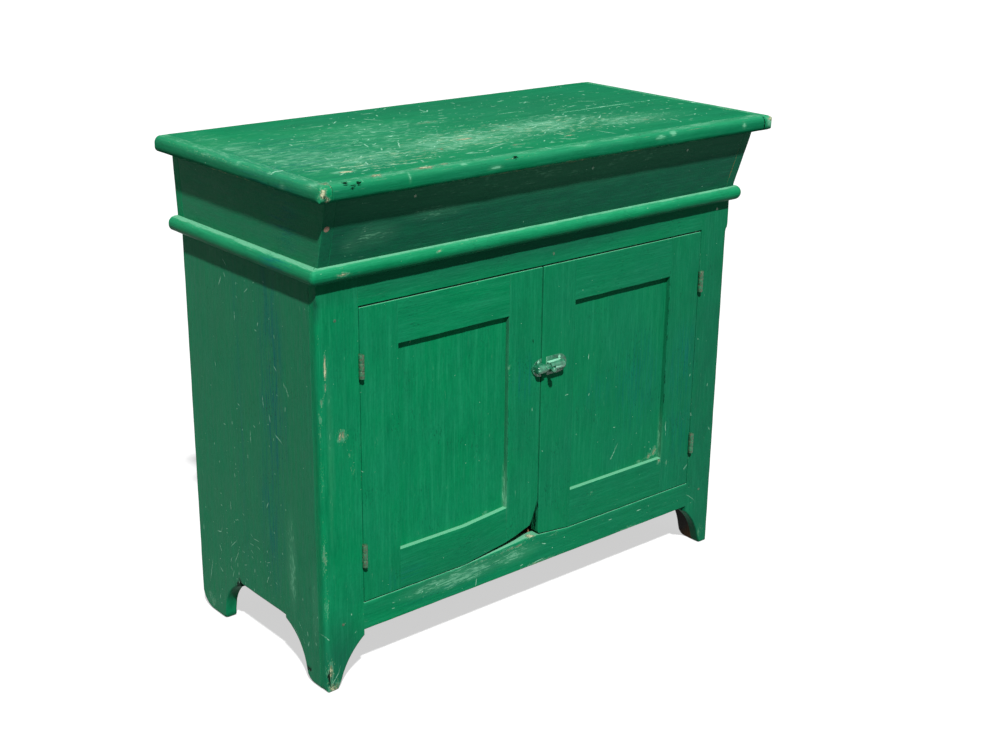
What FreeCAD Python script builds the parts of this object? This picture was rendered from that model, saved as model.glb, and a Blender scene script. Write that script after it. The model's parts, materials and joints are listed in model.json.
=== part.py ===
"""Dry sink cabinet: a lift-lid well with a canted front over a two-door cupboard.

Millimetres. +Z is up and the doors face -Y. The origin is the centre of the footprint of the
bounding box, on the floor. Distances called "depth" run back from the front of the face frame.
"""
import FreeCAD, Part
import math
import os

V = FreeCAD.Vector

# ---- Case ------------------------------------------------------------------------------------
case_w = 921.0              # across the outer faces of the side boards
case_d = 401.0              # front of the face frame to the rear edge of the side boards
case_h = 708.0              # floor to the top of the case, where the well starts
side_t = 22.0               # side board thickness
frame_t = 20.0              # face frame thickness
stile_left_w = 76.5
stile_right_w = 70.5
bottom_rail_low = 94.0      # floor to the lower edge of the bottom rail
bottom_rail_w = 49.5
top_rail_w = 53.5
frame_tenon_len = 28.0      # rail tenons in the stiles of the face frame
frame_tenon_t = 8.0
tenon_shoulder = 9.0        # tenon set in from the rail's free edges
tenon_end_gap = 1.0         # left at the bottom of every mortise
corner_r = 6.0              # worn rounding of the outer corner of each stile
corner_stop_left = 34.0     # the rounding ends this far below the top of the case
corner_stop_right = 56.0
crown_h = 10.0              # bottom rail's unworn peak under the gap between the doors
crown_shift = 18.0          # the peak is this far to the left of that gap
crown_left = 160.0          # slope down to the left of the peak
crown_right = 95.0          # slope down to the right of the peak
arris = 0.8                 # worn chamfer on other free edges

# ---- Bracket feet cut in the stiles and side boards --------------------------------------------
stile_foot_toe = 27.0       # width at the floor, seen from the front
stile_foot_rise = 82.0      # height where the curve meets the stile's inner edge
stile_foot_hollow = 7.5     # how deep the curve sinks behind its chord
side_arch_h = 94.5          # floor to the flat top of the side arch
side_foot_rise = 88.0       # height where the curves start, a small step below the arch
front_foot_toe = 60.0       # side view, from the front of the face frame
front_foot_w = 120.0
front_foot_hollow = 12.5
rear_foot_toe = 78.0        # side view, from the rear edge
rear_foot_w = 134.0
rear_foot_hollow = 16.0
toe_r = 8.0                 # rounding of the toes
heel_r = 32.0               # worn rounding of the rear heels
stile_heel_r = 5.0

# ---- Inside of the case -----------------------------------------------------------------------
floor_t = 18.0              # cupboard floor and well floor
housing_depth = 6.0         # grooves in the side boards that hold both floors
back_t = 14.0
back_rebate = 10.0          # width of the rebate in the side boards that takes the back
back_count = 4
back_lap = 8.0
back_gap = 1.0
back_low = 100.0            # floor to the lower end of the back boards
shelf_z = 400.0             # floor to the top of the shelf
shelf_t = 16.0
shelf_setback = 62.0        # front edge of the shelf behind the front of the face frame
shelf_gap = 0.5
cleat_w = 20.0
cleat_h = 25.0

# ---- Well -------------------------------------------------------------------------------------
well_h = 130.0
well_t = 20.0               # thickness of the four well boards
front_flare = 40.5          # how far the front board leans out over its height
side_flare = 5.0            # the same for the two ends
well_back_proud = 10.0      # rear of the well behind the rear edge of the case

# ---- Half-round bead over the joint of case and well ---------------------------------------------
bead_low = 4.5              # bead's lower edge below the top of the case
bead_h = 26.0
bead_proud = 19.0
bead_corner_r = 8.0         # worn rounding of the mitred corners

# ---- Lid --------------------------------------------------------------------------------------
lid_t = 27.5
lid_gap = 0.5               # between the lid and the top of the well when shut
lid_over_front = 24.0       # nosing beyond the top arris of the well
lid_over_side = 28.0
lid_over_back = 5.0
nosing_w = 25.0
nosing_top_r = 12.0
nosing_low_r = 10.0
nosing_corner_r = 9.0
lid_front_board_w = 220.0
lid_seam = 0.6
batten_w = 60.0
batten_t = 20.0
batten_gap = 10.0           # batten ends clear of the inside of the well
batten_in = 193.5           # centre line of each batten from the end of the lid

# ---- Doors ------------------------------------------------------------------------------------
door_t = 19.5
hinge_side_gap = 1.5
door_top_gap = 3.0
door_bottom_gap = 2.0
meeting_gap = 3.0
meeting_shift = -5.4        # meeting line from the middle of the door opening
door_rail_w = 73.0
left_hinge_stile_w = 74.5
left_meeting_stile_w = 73.0
right_hinge_stile_w = 77.0
right_meeting_stile_w = 76.0
panel_recess = 9.0          # face of the panel behind the face of the door
panel_t = 6.0
groove_depth = 8.0
panel_tongue = 6.5          # how far the panel reaches into its groove
panel_play = 0.2            # clearance on each face of the panel in the groove
door_tenon_len = 32.0
door_tenon_haunch = 14.0    # tenon set in from the door's top and bottom edges
worn_edge_h = 80.0          # left door's planed-off corner: up the free edge
worn_edge_in = 17.0
worn_edge_turn = 29.0       # height of the turn between the two planed edges
worn_bottom_mid = 75.0      # where the planed bottom edge flattens
worn_bottom_rise = 13.5
worn_bottom_len = 165.0     # along the bottom edge
worn_turn_r = 12.0
right_corner_r = 5.0

# ---- Butt hinges ------------------------------------------------------------------------------
leaf_t = 1.6
leaf_gap = 0.5              # between the two leaves when shut
pin_r = 2.0
pin_play = 0.08
pin_head = 1.0
knuckle_gap = 0.3
door_hinge_len = 40.0
door_barrel_r = 4.5
door_leaf_grip = 15.0       # leaf behind the front face of the door
door_hinge_drop = 74.0      # door's top edge to the top of the upper hinge
door_hinge_rise = 66.0      # door's bottom edge to the bottom of the lower hinge
lid_hinge_len = 60.0
lid_barrel_r = 4.0
lid_leaf_grip = 16.0        # leaf in the well's back board
lid_hinge_in = 203.5        # middle of each hinge from the end of the lid
barrel_stand = 0.4          # barrel clear of the wood

# ---- Cupboard latch ---------------------------------------------------------------------------
latch_rise = 327.0          # door's bottom edge to the middle of the bolt
latch_h = 33.0
latch_plate_t = 2.5
latch_plate_len = 55.0      # from the meeting edge of the right door
latch_point = 14.0          # length of the plate's pointed end
latch_edge_gap = 9.0        # barrel and plate back from the meeting edge
barrel_wall = 2.2
barrel_len = 35.0
barrel_bevel = 5.0          # rounding of the closed ends of barrel and keeper
bolt_r = 6.0
bolt_play = 0.3
bolt_len = 27.0
bolt_nose = 1.5             # chamfer of the bolt's nose
bolt_stem_back = 7.6        # stem behind the nose
bolt_nose_out = 1.7         # nose past the right door's edge, clear of the left door's swing
bolt_throw = 5.0            # from there into the keeper
bolt_draw = 9.0             # and back into the barrel
stem_r = 2.5
knob_r = 5.2
knob_reach = 24.5           # centre of the knob in front of the doors
keeper_len = 21.5
keeper_edge_gap = 0.8
keeper_dome_len = 17.5
keeper_depth = 9.0

# ---- Inside turn button and door stops ------------------------------------------------------------
button_len = 56.0
button_w = 16.0
button_t = 8.0
button_gap = 0.8            # between the button and the back of the door
button_below = 16.0         # pivot below the top edge of the door
button_in = 36.0            # pivot in from the meeting edge
stop_len = 90.0
stop_w = 12.0
stop_h = 24.0
stop_catch = 8.0            # how far a stop hangs below the top rail

# ---- Screws -----------------------------------------------------------------------------------
screw_sides = 8             # screws and knuckles are drawn with flats to keep them light
knuckle_sides = 16
latch_sides = 24
screw_head_r = 3.0
screw_shank_r = 1.5
leaf_screw_len = 13.0
batten_screw_len = 36.0
button_screw_len = 22.0

# ---- Places worked out from the sizes above -----------------------------------------------------
half_w = case_w / 2
well_z = case_h
well_top = well_z + well_h
lid_z = well_top + lid_gap
lid_top = lid_z + lid_t
lid_half_w = half_w + side_flare + lid_over_side
lid_hinge_stand = lid_barrel_r + barrel_stand
batten_x = lid_half_w - batten_in
lid_hinge_x = lid_half_w - lid_hinge_in
reach_front = front_flare + lid_over_front
lid_back_depth = case_d + well_back_proud + lid_over_back
lid_pivot_depth = lid_back_depth + lid_hinge_stand
overall_d = reach_front + lid_pivot_depth + lid_barrel_r
FRONT = reach_front - overall_d / 2          # y of the front of the face frame
frame_back = FRONT + frame_t
case_back = FRONT + case_d
back_face = case_back - back_t               # inner face of the back boards
well_back_out = case_back + well_back_proud
well_back_in = well_back_out - well_t
front_slope = front_flare / well_h
side_slope = side_flare / well_h
front_board_run = well_t * math.hypot(1, front_slope)   # thickness of the canted board along Y
side_board_run = well_t * math.hypot(1, side_slope)
open_left = -half_w + stile_left_w
open_right = half_w - stile_right_w
open_low = bottom_rail_low + bottom_rail_w
open_high = case_h - top_rail_w
door_low = open_low + door_bottom_gap
door_high = open_high - door_top_gap
meeting_x = (open_left + open_right) / 2 + meeting_shift
crown_x = meeting_x - crown_shift
door_back = FRONT + door_t
door_hinge_stand = door_barrel_r + barrel_stand
latch_z = door_low + latch_rise
bolt_y = FRONT - (bolt_r + bolt_play + barrel_wall)


# ---- Drawing helpers --------------------------------------------------------------------------
def box(x0, x1, y0, y1, z0, z1):
    """Box between two opposite corners, given in any order."""
    low = V(min(x0, x1), min(y0, y1), min(z0, z1))
    return Part.makeBox(abs(x1 - x0), abs(y1 - y0), abs(z1 - z0), low)


def prism(plane, start, steps, near, far):
    """Extrude a closed outline drawn in plane "xy", "xz" or "yz" from near to far.

    A step of two numbers is a straight line to that point. A step of four numbers is an arc
    through the first point to the second.
    """
    lift = {
        "xy": lambda p: V(p[0], p[1], near),
        "xz": lambda p: V(p[0], near, p[1]),
        "yz": lambda p: V(near, p[0], p[1]),
    }[plane]
    along = {"xy": V(0, 0, far - near), "xz": V(0, far - near, 0), "yz": V(far - near, 0, 0)}[plane]
    edges = []
    here = start
    for step in list(steps) + [start]:
        end = step[-2:]
        if len(step) == 4:
            edges.append(Part.Arc(lift(here), lift(step[:2]), lift(end)).toShape())
        elif math.dist(here, end) > 1e-6:
            edges.append(Part.makeLine(lift(here), lift(end)))
        here = end
    return Part.Face(Part.Wire(edges)).extrude(along)


def faceted(sides, stations, flats=False):
    """Small turned piece drawn with flat sides.

    Stations are (middle, radius) pairs along the axis. The corners lie on the circles, or the
    flats do for a hole.
    """
    aim = (stations[-1][0] - stations[0][0]).normalize()
    across = aim.cross(V(1, 0, 0) if abs(aim.x) < 0.5 else V(0, 0, 1))
    over = aim.cross(across)
    grow = 1 / math.cos(math.pi / sides) if flats else 1.0
    turns = [math.tau * i / sides for i in range(sides)]
    rings = [[middle + (across * math.cos(a) + over * math.sin(a)) * radius * grow for a in turns]
             for middle, radius in stations]
    loops = [rings[0], rings[-1]]
    for one, other in zip(rings, rings[1:]):
        loops += [[one[i - 1], one[i], other[i], other[i - 1]] for i in range(sides)]
    faces = [Part.Face(Part.makePolygon(loop + loop[:1])) for loop in loops]
    return Part.Solid(Part.Shell(faces))


def latch_bar(radius, start, end, bevel=0.0, flats=False):
    """Round bar of the latch; a bevel rounds its far end off in two tapers."""
    aim = (end - start).normalize()
    stations = [(start, radius), (end - aim * bevel, radius)]
    if bevel:
        stations += [(end - aim * (bevel * 0.3), radius - bevel * 0.3), (end, radius - bevel)]
    return faceted(latch_sides, stations, flats)


def ball(radius, middle, aim):
    """Ball with a flat at each end of its axis."""
    rings = [math.pi * (share - 0.5) for share in (0.12, 0.28, 0.5, 0.72, 0.88)]
    return faceted(latch_sides, [(middle + aim * (radius * math.sin(a)), radius * math.cos(a)) for a in rings])


def fuse(shapes):
    """One solid from touching shapes, with the seams removed."""
    return shapes[0].multiFuse(shapes[1:]).removeSplitter()


def sink(shape, tools):
    """Cut every tool out of a shape."""
    for tool in tools:
        shape = shape.cut(tool)
    return shape


def hollow_mid(u0, v0, u1, v1, hollow):
    """Middle of an arc that passes to the left of its chord from (u0, v0) to (u1, v1)."""
    chord = math.hypot(u1 - u0, v1 - v0)
    return (u0 + u1) / 2 - (v1 - v0) / chord * hollow, (v0 + v1) / 2 + (u1 - u0) / chord * hollow


def quarter_mid(cu, cv, du, dv):
    """Middle of a quarter arc with centre (cu, cv), bulging towards (du, dv)."""
    return cu + du * math.sqrt(0.5), cv + dv * math.sqrt(0.5)


def corner_rounder(x, y, side, radius, low, high):
    """Upright bar that rounds a front corner at (x, y) in plan."""
    return prism("xy", (x, y), [
        (x, y + radius),
        (*quarter_mid(x - side * radius, y + radius, side * radius, -radius), x - side * radius, y),
    ], low - 1, high)


def chamfer_bar(start, end, one, other):
    """Triangular bar that takes a corner off an edge; one and other point into the faces."""
    grow = (end - start).normalize() * 1.0
    a, b = start - grow, end + grow
    out = (one + other) * -0.5
    wire = Part.makePolygon([a + out, a + one * 1.5 - other * 0.5, a + other * 1.5 - one * 0.5, a + out])
    return Part.Face(wire).extrude(b - a)


def screw(head, direction, length):
    """Countersunk wood screw; head is the middle of its flush face."""
    aim = V(direction).normalize()
    neck = head + aim * (screw_head_r - screw_shank_r)
    return faceted(screw_sides, [(head, screw_head_r), (neck, screw_shank_r), (head + aim * length, screw_shank_r)])


# ---- Case ------------------------------------------------------------------------------------
def foot_curve(toe, top_w, rise, hollow):
    """Steps from the inner end of a flat toe up the hollow of a bracket foot."""
    mid = hollow_mid(toe, toe_r, top_w, rise, hollow)
    return [(*quarter_mid(toe - toe_r, toe_r, toe_r, -toe_r), toe, toe_r), (*mid, top_w, rise)]


def side_board(side):
    """Side board with its arch and feet, rear rebate and floor housings; side is -1 or 1."""
    front = foot_curve(front_foot_toe, front_foot_w, side_foot_rise, front_foot_hollow)
    rear = foot_curve(rear_foot_toe, rear_foot_w, side_foot_rise, rear_foot_hollow)
    rear_mid, rear_top = rear[1][:2], rear[1][2:]
    toe_mid = rear[0][:2]

    def at_front(step):
        return tuple(v + FRONT if i % 2 == 0 else v for i, v in enumerate(step))

    def at_rear(point):
        return case_back - point[0], point[1]

    steps = [at_front((front_foot_toe - toe_r, 0))] + [at_front(step) for step in front]
    steps += [
        at_front((front_foot_w, side_arch_h)),
        at_rear((rear_foot_w, side_arch_h)),
        at_rear(rear_top),
        (*at_rear(rear_mid), *at_rear((rear_foot_toe, toe_r))),
        (*at_rear(toe_mid), *at_rear((rear_foot_toe - toe_r, 0))),
        (case_back - heel_r, 0),
        (*quarter_mid(case_back - heel_r, heel_r, heel_r, -heel_r), case_back, heel_r),
        (case_back, case_h),
        (frame_back, case_h),
    ]
    inner = half_w - side_t
    board = prism("yz", (frame_back, 0), steps, side * inner, side * half_w)
    housed = inner + housing_depth
    cuts = [
        box(side * inner, side * (inner + back_rebate), back_face, case_back + 1, back_low, case_h + 1),
        box(side * inner, side * housed, frame_back, back_face, open_low - floor_t, open_low),
        box(side * inner, side * housed, frame_back, back_face, case_h - floor_t, case_h + 1),
    ]
    return sink(board, cuts)


def face_stile(side):
    """Upright of the face frame, running down into a bracket foot."""
    width = stile_left_w if side < 0 else stile_right_w

    def at(step):
        return tuple(side * (half_w - v) if i % 2 == 0 else v for i, v in enumerate(step))

    steps = [at((stile_foot_toe - toe_r, 0))]
    steps += [at(step) for step in foot_curve(stile_foot_toe, width, stile_foot_rise, stile_foot_hollow)]
    steps += [
        at((width, case_h)),
        at((0, case_h)),
        at((0, stile_heel_r)),
        at((*quarter_mid(stile_heel_r, stile_heel_r, -stile_heel_r, -stile_heel_r), stile_heel_r, 0)),
    ]
    stile = prism("xz", at((stile_heel_r, 0)), steps, FRONT, frame_back)
    stop = corner_stop_left if side < 0 else corner_stop_right
    return stile.cut(corner_rounder(side * half_w, FRONT, side, corner_r, 0, case_h - stop))


def frame_rail(low, high):
    """Rail of the face frame with a tenon at each end."""
    rail = box(open_left, open_right, FRONT, frame_back, low, high)
    middle = (FRONT + frame_back) / 2
    tenons = box(open_left - frame_tenon_len, open_right + frame_tenon_len, middle - frame_tenon_t / 2,
                 middle + frame_tenon_t / 2, low + tenon_shoulder, high - tenon_shoulder)
    return fuse([rail, tenons])


def rail_crown():
    """Low peak on top of the bottom rail, left unworn under the gap between the doors."""
    steps = [(crown_x + crown_right, open_low), (crown_x, open_low + crown_h)]
    return prism("xz", (crown_x - crown_left, open_low), steps, FRONT, frame_back)


def frame_mortises(side):
    """The pockets in one stile that take both rails."""
    edge = open_left if side < 0 else open_right
    middle = (FRONT + frame_back) / 2
    pockets = []
    for low, high in ((bottom_rail_low, open_low), (open_high, case_h)):
        pockets.append(box(edge, edge + side * (frame_tenon_len + tenon_end_gap), middle - frame_tenon_t / 2,
                           middle + frame_tenon_t / 2, low + tenon_shoulder, high - tenon_shoulder))
    return pockets


def back_boards():
    """Vertical shiplapped boards in the rebates of the side boards."""
    reach = half_w - side_t + back_rebate
    pitch = 2 * reach / back_count
    split = (back_face + case_back) / 2
    boards = []
    for i in range(back_count):
        left, right = -reach + i * pitch, -reach + (i + 1) * pitch
        first, last = i == 0, i == back_count - 1
        inner = box(left, right - (0 if last else back_gap), back_face, split, back_low, case_h)
        outer = box(left + (0 if first else back_lap), right + (0 if last else back_lap - back_gap),
                    split, case_back, back_low, case_h)
        boards.append(fuse([inner, outer]))
    return boards


def housed_floor(top):
    """Floor board let into both side boards, with its top at a height."""
    reach = half_w - side_t + housing_depth
    return box(-reach, reach, frame_back, back_face, top - floor_t, top)


def shelf():
    """Loose shelf that rests on two cleats."""
    reach = half_w - side_t - shelf_gap
    return box(-reach, reach, FRONT + shelf_setback, back_face - shelf_gap, shelf_z - shelf_t, shelf_z)


def shelf_cleat(side):
    """Batten nailed to a side board under the shelf."""
    inner = half_w - side_t
    return box(side * (inner - cleat_w), side * inner, FRONT + shelf_setback, back_face - shelf_gap,
               shelf_z - shelf_t - cleat_h, shelf_z - shelf_t)


def door_stops():
    """Two blocks behind the top rail that the doors shut against."""
    blocks = []
    for low, high in ((open_left, meeting_x), (meeting_x, open_right)):
        middle = (low + high) / 2
        blocks.append(box(middle - stop_len / 2, middle + stop_len / 2, frame_back, frame_back + stop_w,
                          open_high - stop_catch, open_high - stop_catch + stop_h))
    return Part.makeCompound(blocks)


# ---- Well -------------------------------------------------------------------------------------
def canted_front(z):
    """y of the well's outer front face at a height."""
    return FRONT - front_slope * (z - well_z)


def leaning_side(z):
    """Half width over the well's outer end faces at a height."""
    return half_w + side_slope * (z - well_z)


def well_front():
    """Front board, canted forward and fitted between the two ends."""
    slab = prism("yz", (canted_front(well_z), well_z), [
        (canted_front(well_z) + front_board_run, well_z),
        (canted_front(well_top) + front_board_run, well_top),
        (canted_front(well_top), well_top),
    ], -lid_half_w, lid_half_w)
    low, high = leaning_side(well_z) - side_board_run, leaning_side(well_top) - side_board_run
    between = prism("xz", (-low, well_z), [(low, well_z), (high, well_top), (-high, well_top)],
                    canted_front(well_top) - 1, frame_back + well_t)
    return slab.common(between)


def well_end(side):
    """End board; its front end is cut to the slope of the front board and shows at the corner."""
    slab = prism("xz", (side * leaning_side(well_z), well_z), [
        (side * leaning_side(well_top), well_top),
        (side * (leaning_side(well_top) - side_board_run), well_top),
        (side * (leaning_side(well_z) - side_board_run), well_z),
    ], canted_front(well_top) - 1, well_back_in)
    profile = prism("yz", (canted_front(well_z), well_z), [
        (well_back_in, well_z), (well_back_in, well_top), (canted_front(well_top), well_top),
    ], side * (half_w - side_t - well_t), side * lid_half_w)
    return slab.common(profile)


def well_back():
    """Back board nailed over the rear edges of the two ends."""
    low, high = leaning_side(well_z), leaning_side(well_top)
    return prism("xz", (-low, well_z), [(low, well_z), (high, well_top), (-high, well_top)],
                 well_back_in, well_back_out)


# ---- Bead -------------------------------------------------------------------------------------
def bead_section(slope):
    """Half-round outline as (distance proud of the case, height), fitted to a leaning board."""
    low = well_z - bead_low
    high = low + bead_h
    radius = bead_h / 2
    flat = bead_proud - radius
    start = (0, low)
    lean = slope * (high - well_z)
    return start, [(0, well_z), (lean, high), (max(flat, lean + 0.1), high), (bead_proud, low + radius, flat, low)]


def bead_front():
    """Front bead with a mitre at each corner."""
    start, steps = bead_section(front_slope)

    def at(step):
        return tuple(FRONT - v if i % 2 == 0 else v for i, v in enumerate(step))

    span = half_w + bead_proud
    bar = prism("yz", at(start), [at(step) for step in steps], -span, span).common(mitre_plan())
    return sink(bar, [bead_corner(side) for side in (-1, 1)])


def bead_corner(side):
    """Bar that rounds one mitred corner of the bead."""
    return corner_rounder(side * (half_w + bead_proud), FRONT - bead_proud, side, bead_corner_r, 0, lid_top)


def mitre_plan():
    """Plan of the front bead between its two mitres, as a tall block."""
    span = half_w + bead_proud
    return prism("xy", (-half_w, FRONT), [(half_w, FRONT), (span, FRONT - bead_proud), (-span, FRONT - bead_proud)],
                 0, lid_top)


def bead_end(side):
    """Bead along one end, mitred to the front bead."""
    start, steps = bead_section(side_slope)

    def at(step):
        return tuple(side * (half_w + v) if i % 2 == 0 else v for i, v in enumerate(step))

    bar = prism("xz", at(start), [at(step) for step in steps], FRONT - bead_proud, well_back_out)
    front = prism("xy", (0, FRONT), [
        (side * half_w, FRONT), (side * (half_w + bead_proud), FRONT - bead_proud), (0, FRONT - bead_proud),
    ], 0, lid_top)
    return sink(bar, [front, bead_corner(side)])


# ---- Lid --------------------------------------------------------------------------------------
lid_front_y = FRONT - reach_front
lid_back_y = FRONT + lid_back_depth


def nosing_section():
    """Rounded edge as (distance in from the outer edge, height)."""
    top_mid = quarter_mid(nosing_top_r, lid_top - nosing_top_r, -nosing_top_r, nosing_top_r)
    low_mid = quarter_mid(nosing_low_r, lid_z + nosing_low_r, -nosing_low_r, -nosing_low_r)
    return (nosing_w, lid_z), [
        (nosing_w, lid_top), (nosing_top_r, lid_top), (*top_mid, 0, lid_top - nosing_top_r),
        (0, lid_z + nosing_low_r), (*low_mid, nosing_low_r, lid_z),
    ]


def front_nosing_bar():
    """The front edge moulding over the whole width of the lid."""
    start, steps = nosing_section()

    def at(step):
        return tuple(lid_front_y + v if i % 2 == 0 else v for i, v in enumerate(step))

    return prism("yz", at(start), [at(step) for step in steps], -lid_half_w, lid_half_w)


def lid_nosing_front():
    """Front nosing, fitted between the two end nosings."""
    inner = lid_half_w - nosing_w
    gap = lid_seam / 2
    return front_nosing_bar().common(box(-inner + gap, inner - gap, lid_front_y - 1, lid_back_y, lid_z, lid_top))


def lid_nosing_end(side):
    """End nosing; its front end is rounded over like the front nosing."""
    start, steps = nosing_section()

    def at(step):
        return tuple(side * (lid_half_w - v) if i % 2 == 0 else v for i, v in enumerate(step))

    bar = prism("xz", at(start), [at(step) for step in steps], lid_front_y, lid_back_y)
    behind = box(-lid_half_w, lid_half_w, lid_front_y + nosing_w, lid_back_y, lid_z, lid_top)
    bar = bar.common(fuse([front_nosing_bar(), behind]))
    return bar.cut(corner_rounder(side * lid_half_w, lid_front_y, side, nosing_corner_r, lid_z, lid_top + 1))


def lid_boards():
    """Two lengthwise boards between the end nosings, front first."""
    reach = lid_half_w - nosing_w
    seam_y = lid_front_y + nosing_w + lid_front_board_w
    front = box(-reach, reach, lid_front_y + nosing_w, seam_y - lid_seam / 2, lid_z, lid_top)
    rear = box(-reach, reach, seam_y + lid_seam / 2, lid_back_y, lid_z, lid_top)
    return front, rear


def lid_batten(side):
    """Batten screwed across the underside of the lid, inside the well."""
    low = lid_z - batten_t
    front = canted_front(low) + front_board_run + batten_gap
    return box(side * batten_x - batten_w / 2, side * batten_x + batten_w / 2, front,
               well_back_in - batten_gap, low, lid_z)


def batten_screws():
    """Three screws up through each batten into the lid boards."""
    low = lid_z - batten_t
    front = canted_front(low) + front_board_run + batten_gap
    rear = well_back_in - batten_gap
    screws = []
    for side in (-1, 1):
        for share in (0.12, 0.38, 0.88):
            head = V(side * batten_x, front + (rear - front) * share, low)
            screws.append(screw(head, V(0, 0, 1), batten_screw_len))
    return screws


# ---- Butt hinges ------------------------------------------------------------------------------
def butt_hinge(length, barrel_r, leaf_w):
    """Shut butt hinge about the Z axis with both leaves reaching along +Y.

    Returns the fixed leaf on the -X side, the moving leaf on the +X side, the pin, and the
    screws of each leaf. The fixed leaf holds the outer two of three knuckles.
    """
    third = length / 6
    half = length / 2
    ends = [(-half, -third - knuckle_gap / 2), (third + knuckle_gap / 2, half)]
    middle = [(-third + knuckle_gap / 2, third - knuckle_gap / 2)]
    near, far = leaf_gap / 2, leaf_gap / 2 + leaf_t
    clear_r = barrel_r + barrel_stand / 2

    def upright(radius, low, high, flats=False):
        return faceted(knuckle_sides, [(V(0, 0, low), radius), (V(0, 0, high), radius)], flats)

    def leaf(sign, own, others, bore):
        plate = box(sign * near, sign * far, 0, leaf_w, -half, half)
        for low, high in others:
            plate = plate.cut(upright(clear_r, low - knuckle_gap, high + knuckle_gap, True))
        shape = fuse([plate] + [upright(barrel_r, low, high) for low, high in own])
        return shape.cut(upright(bore, -half - 1, half + 1, True))

    fixed = leaf(-1, ends, middle, pin_r)
    moving = leaf(1, middle, ends, pin_r + pin_play)
    pin = upright(pin_r, -half - pin_head, half + pin_head)
    screws = {}
    for sign in (-1, 1):
        spots = [V(sign * near, (barrel_r + leaf_w) / 2, share * length) for share in (-0.31, 0.31)]
        screws[sign] = [screw(spot, V(sign, 0, 0), leaf_screw_len) for spot in spots]
    fixed = sink(fixed, screws[-1])
    moving = sink(moving, screws[1])
    return fixed, moving, pin, screws[-1], screws[1]


def leaf_beds(length, leaf_w):
    """Boxes that the two shut leaves fill, fixed leaf first."""
    near, far = leaf_gap / 2, leaf_gap / 2 + leaf_t
    return [box(sign * near, sign * far, 0, leaf_w, -length / 2, length / 2) for sign in (-1, 1)]


def moved(shape, place):
    """Copy of a shape moved rigidly to its place."""
    copy = shape.copy()
    copy.Placement = place.multiply(copy.Placement)
    return copy


def hinge_set(length, barrel_r, leaf_w, places):
    """The pieces of several equal hinges, each put in its places."""
    fixed, moving, pin, fixed_screws, moving_screws = butt_hinge(length, barrel_r, leaf_w)
    fixed_bed, moving_bed = leaf_beds(length, leaf_w)
    return {
        "fixed": [moved(fixed, p) for p in places],
        "moving": [moved(moving, p) for p in places],
        "pins": [moved(pin, p) for p in places],
        "fixed_screws": [moved(s, p) for p in places for s in fixed_screws],
        "moving_screws": [moved(s, p) for p in places for s in moving_screws],
        "fixed_beds": [moved(fixed_bed, p) for p in places],
        "moving_beds": [moved(moving_bed, p) for p in places],
    }


def door_hinges(side):
    """Two butt hinges in the joint between a door and its stile, barrels proud of the face."""
    x = open_left + hinge_side_gap / 2 if side < 0 else open_right - hinge_side_gap / 2
    turn = FreeCAD.Rotation(V(0, 1, 0), 0 if side < 0 else 180)
    heights = (door_low + door_hinge_rise + door_hinge_len / 2, door_high - door_hinge_drop - door_hinge_len / 2)
    places = [FreeCAD.Placement(V(x, FRONT - door_hinge_stand, z), turn) for z in heights]
    return hinge_set(door_hinge_len, door_barrel_r, door_hinge_stand + door_leaf_grip, places)


def lid_hinges():
    """Two butt hinges between the well's back board and the lid, barrels behind the board."""
    turn = FreeCAD.Rotation(V(1, 0, 1), 180)
    y = FRONT + lid_pivot_depth
    places = [FreeCAD.Placement(V(side * lid_hinge_x, y, well_top + lid_gap / 2), turn) for side in (-1, 1)]
    leaf_w = lid_hinge_stand + lid_over_back + lid_leaf_grip
    return hinge_set(lid_hinge_len, lid_barrel_r, leaf_w, places)


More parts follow.
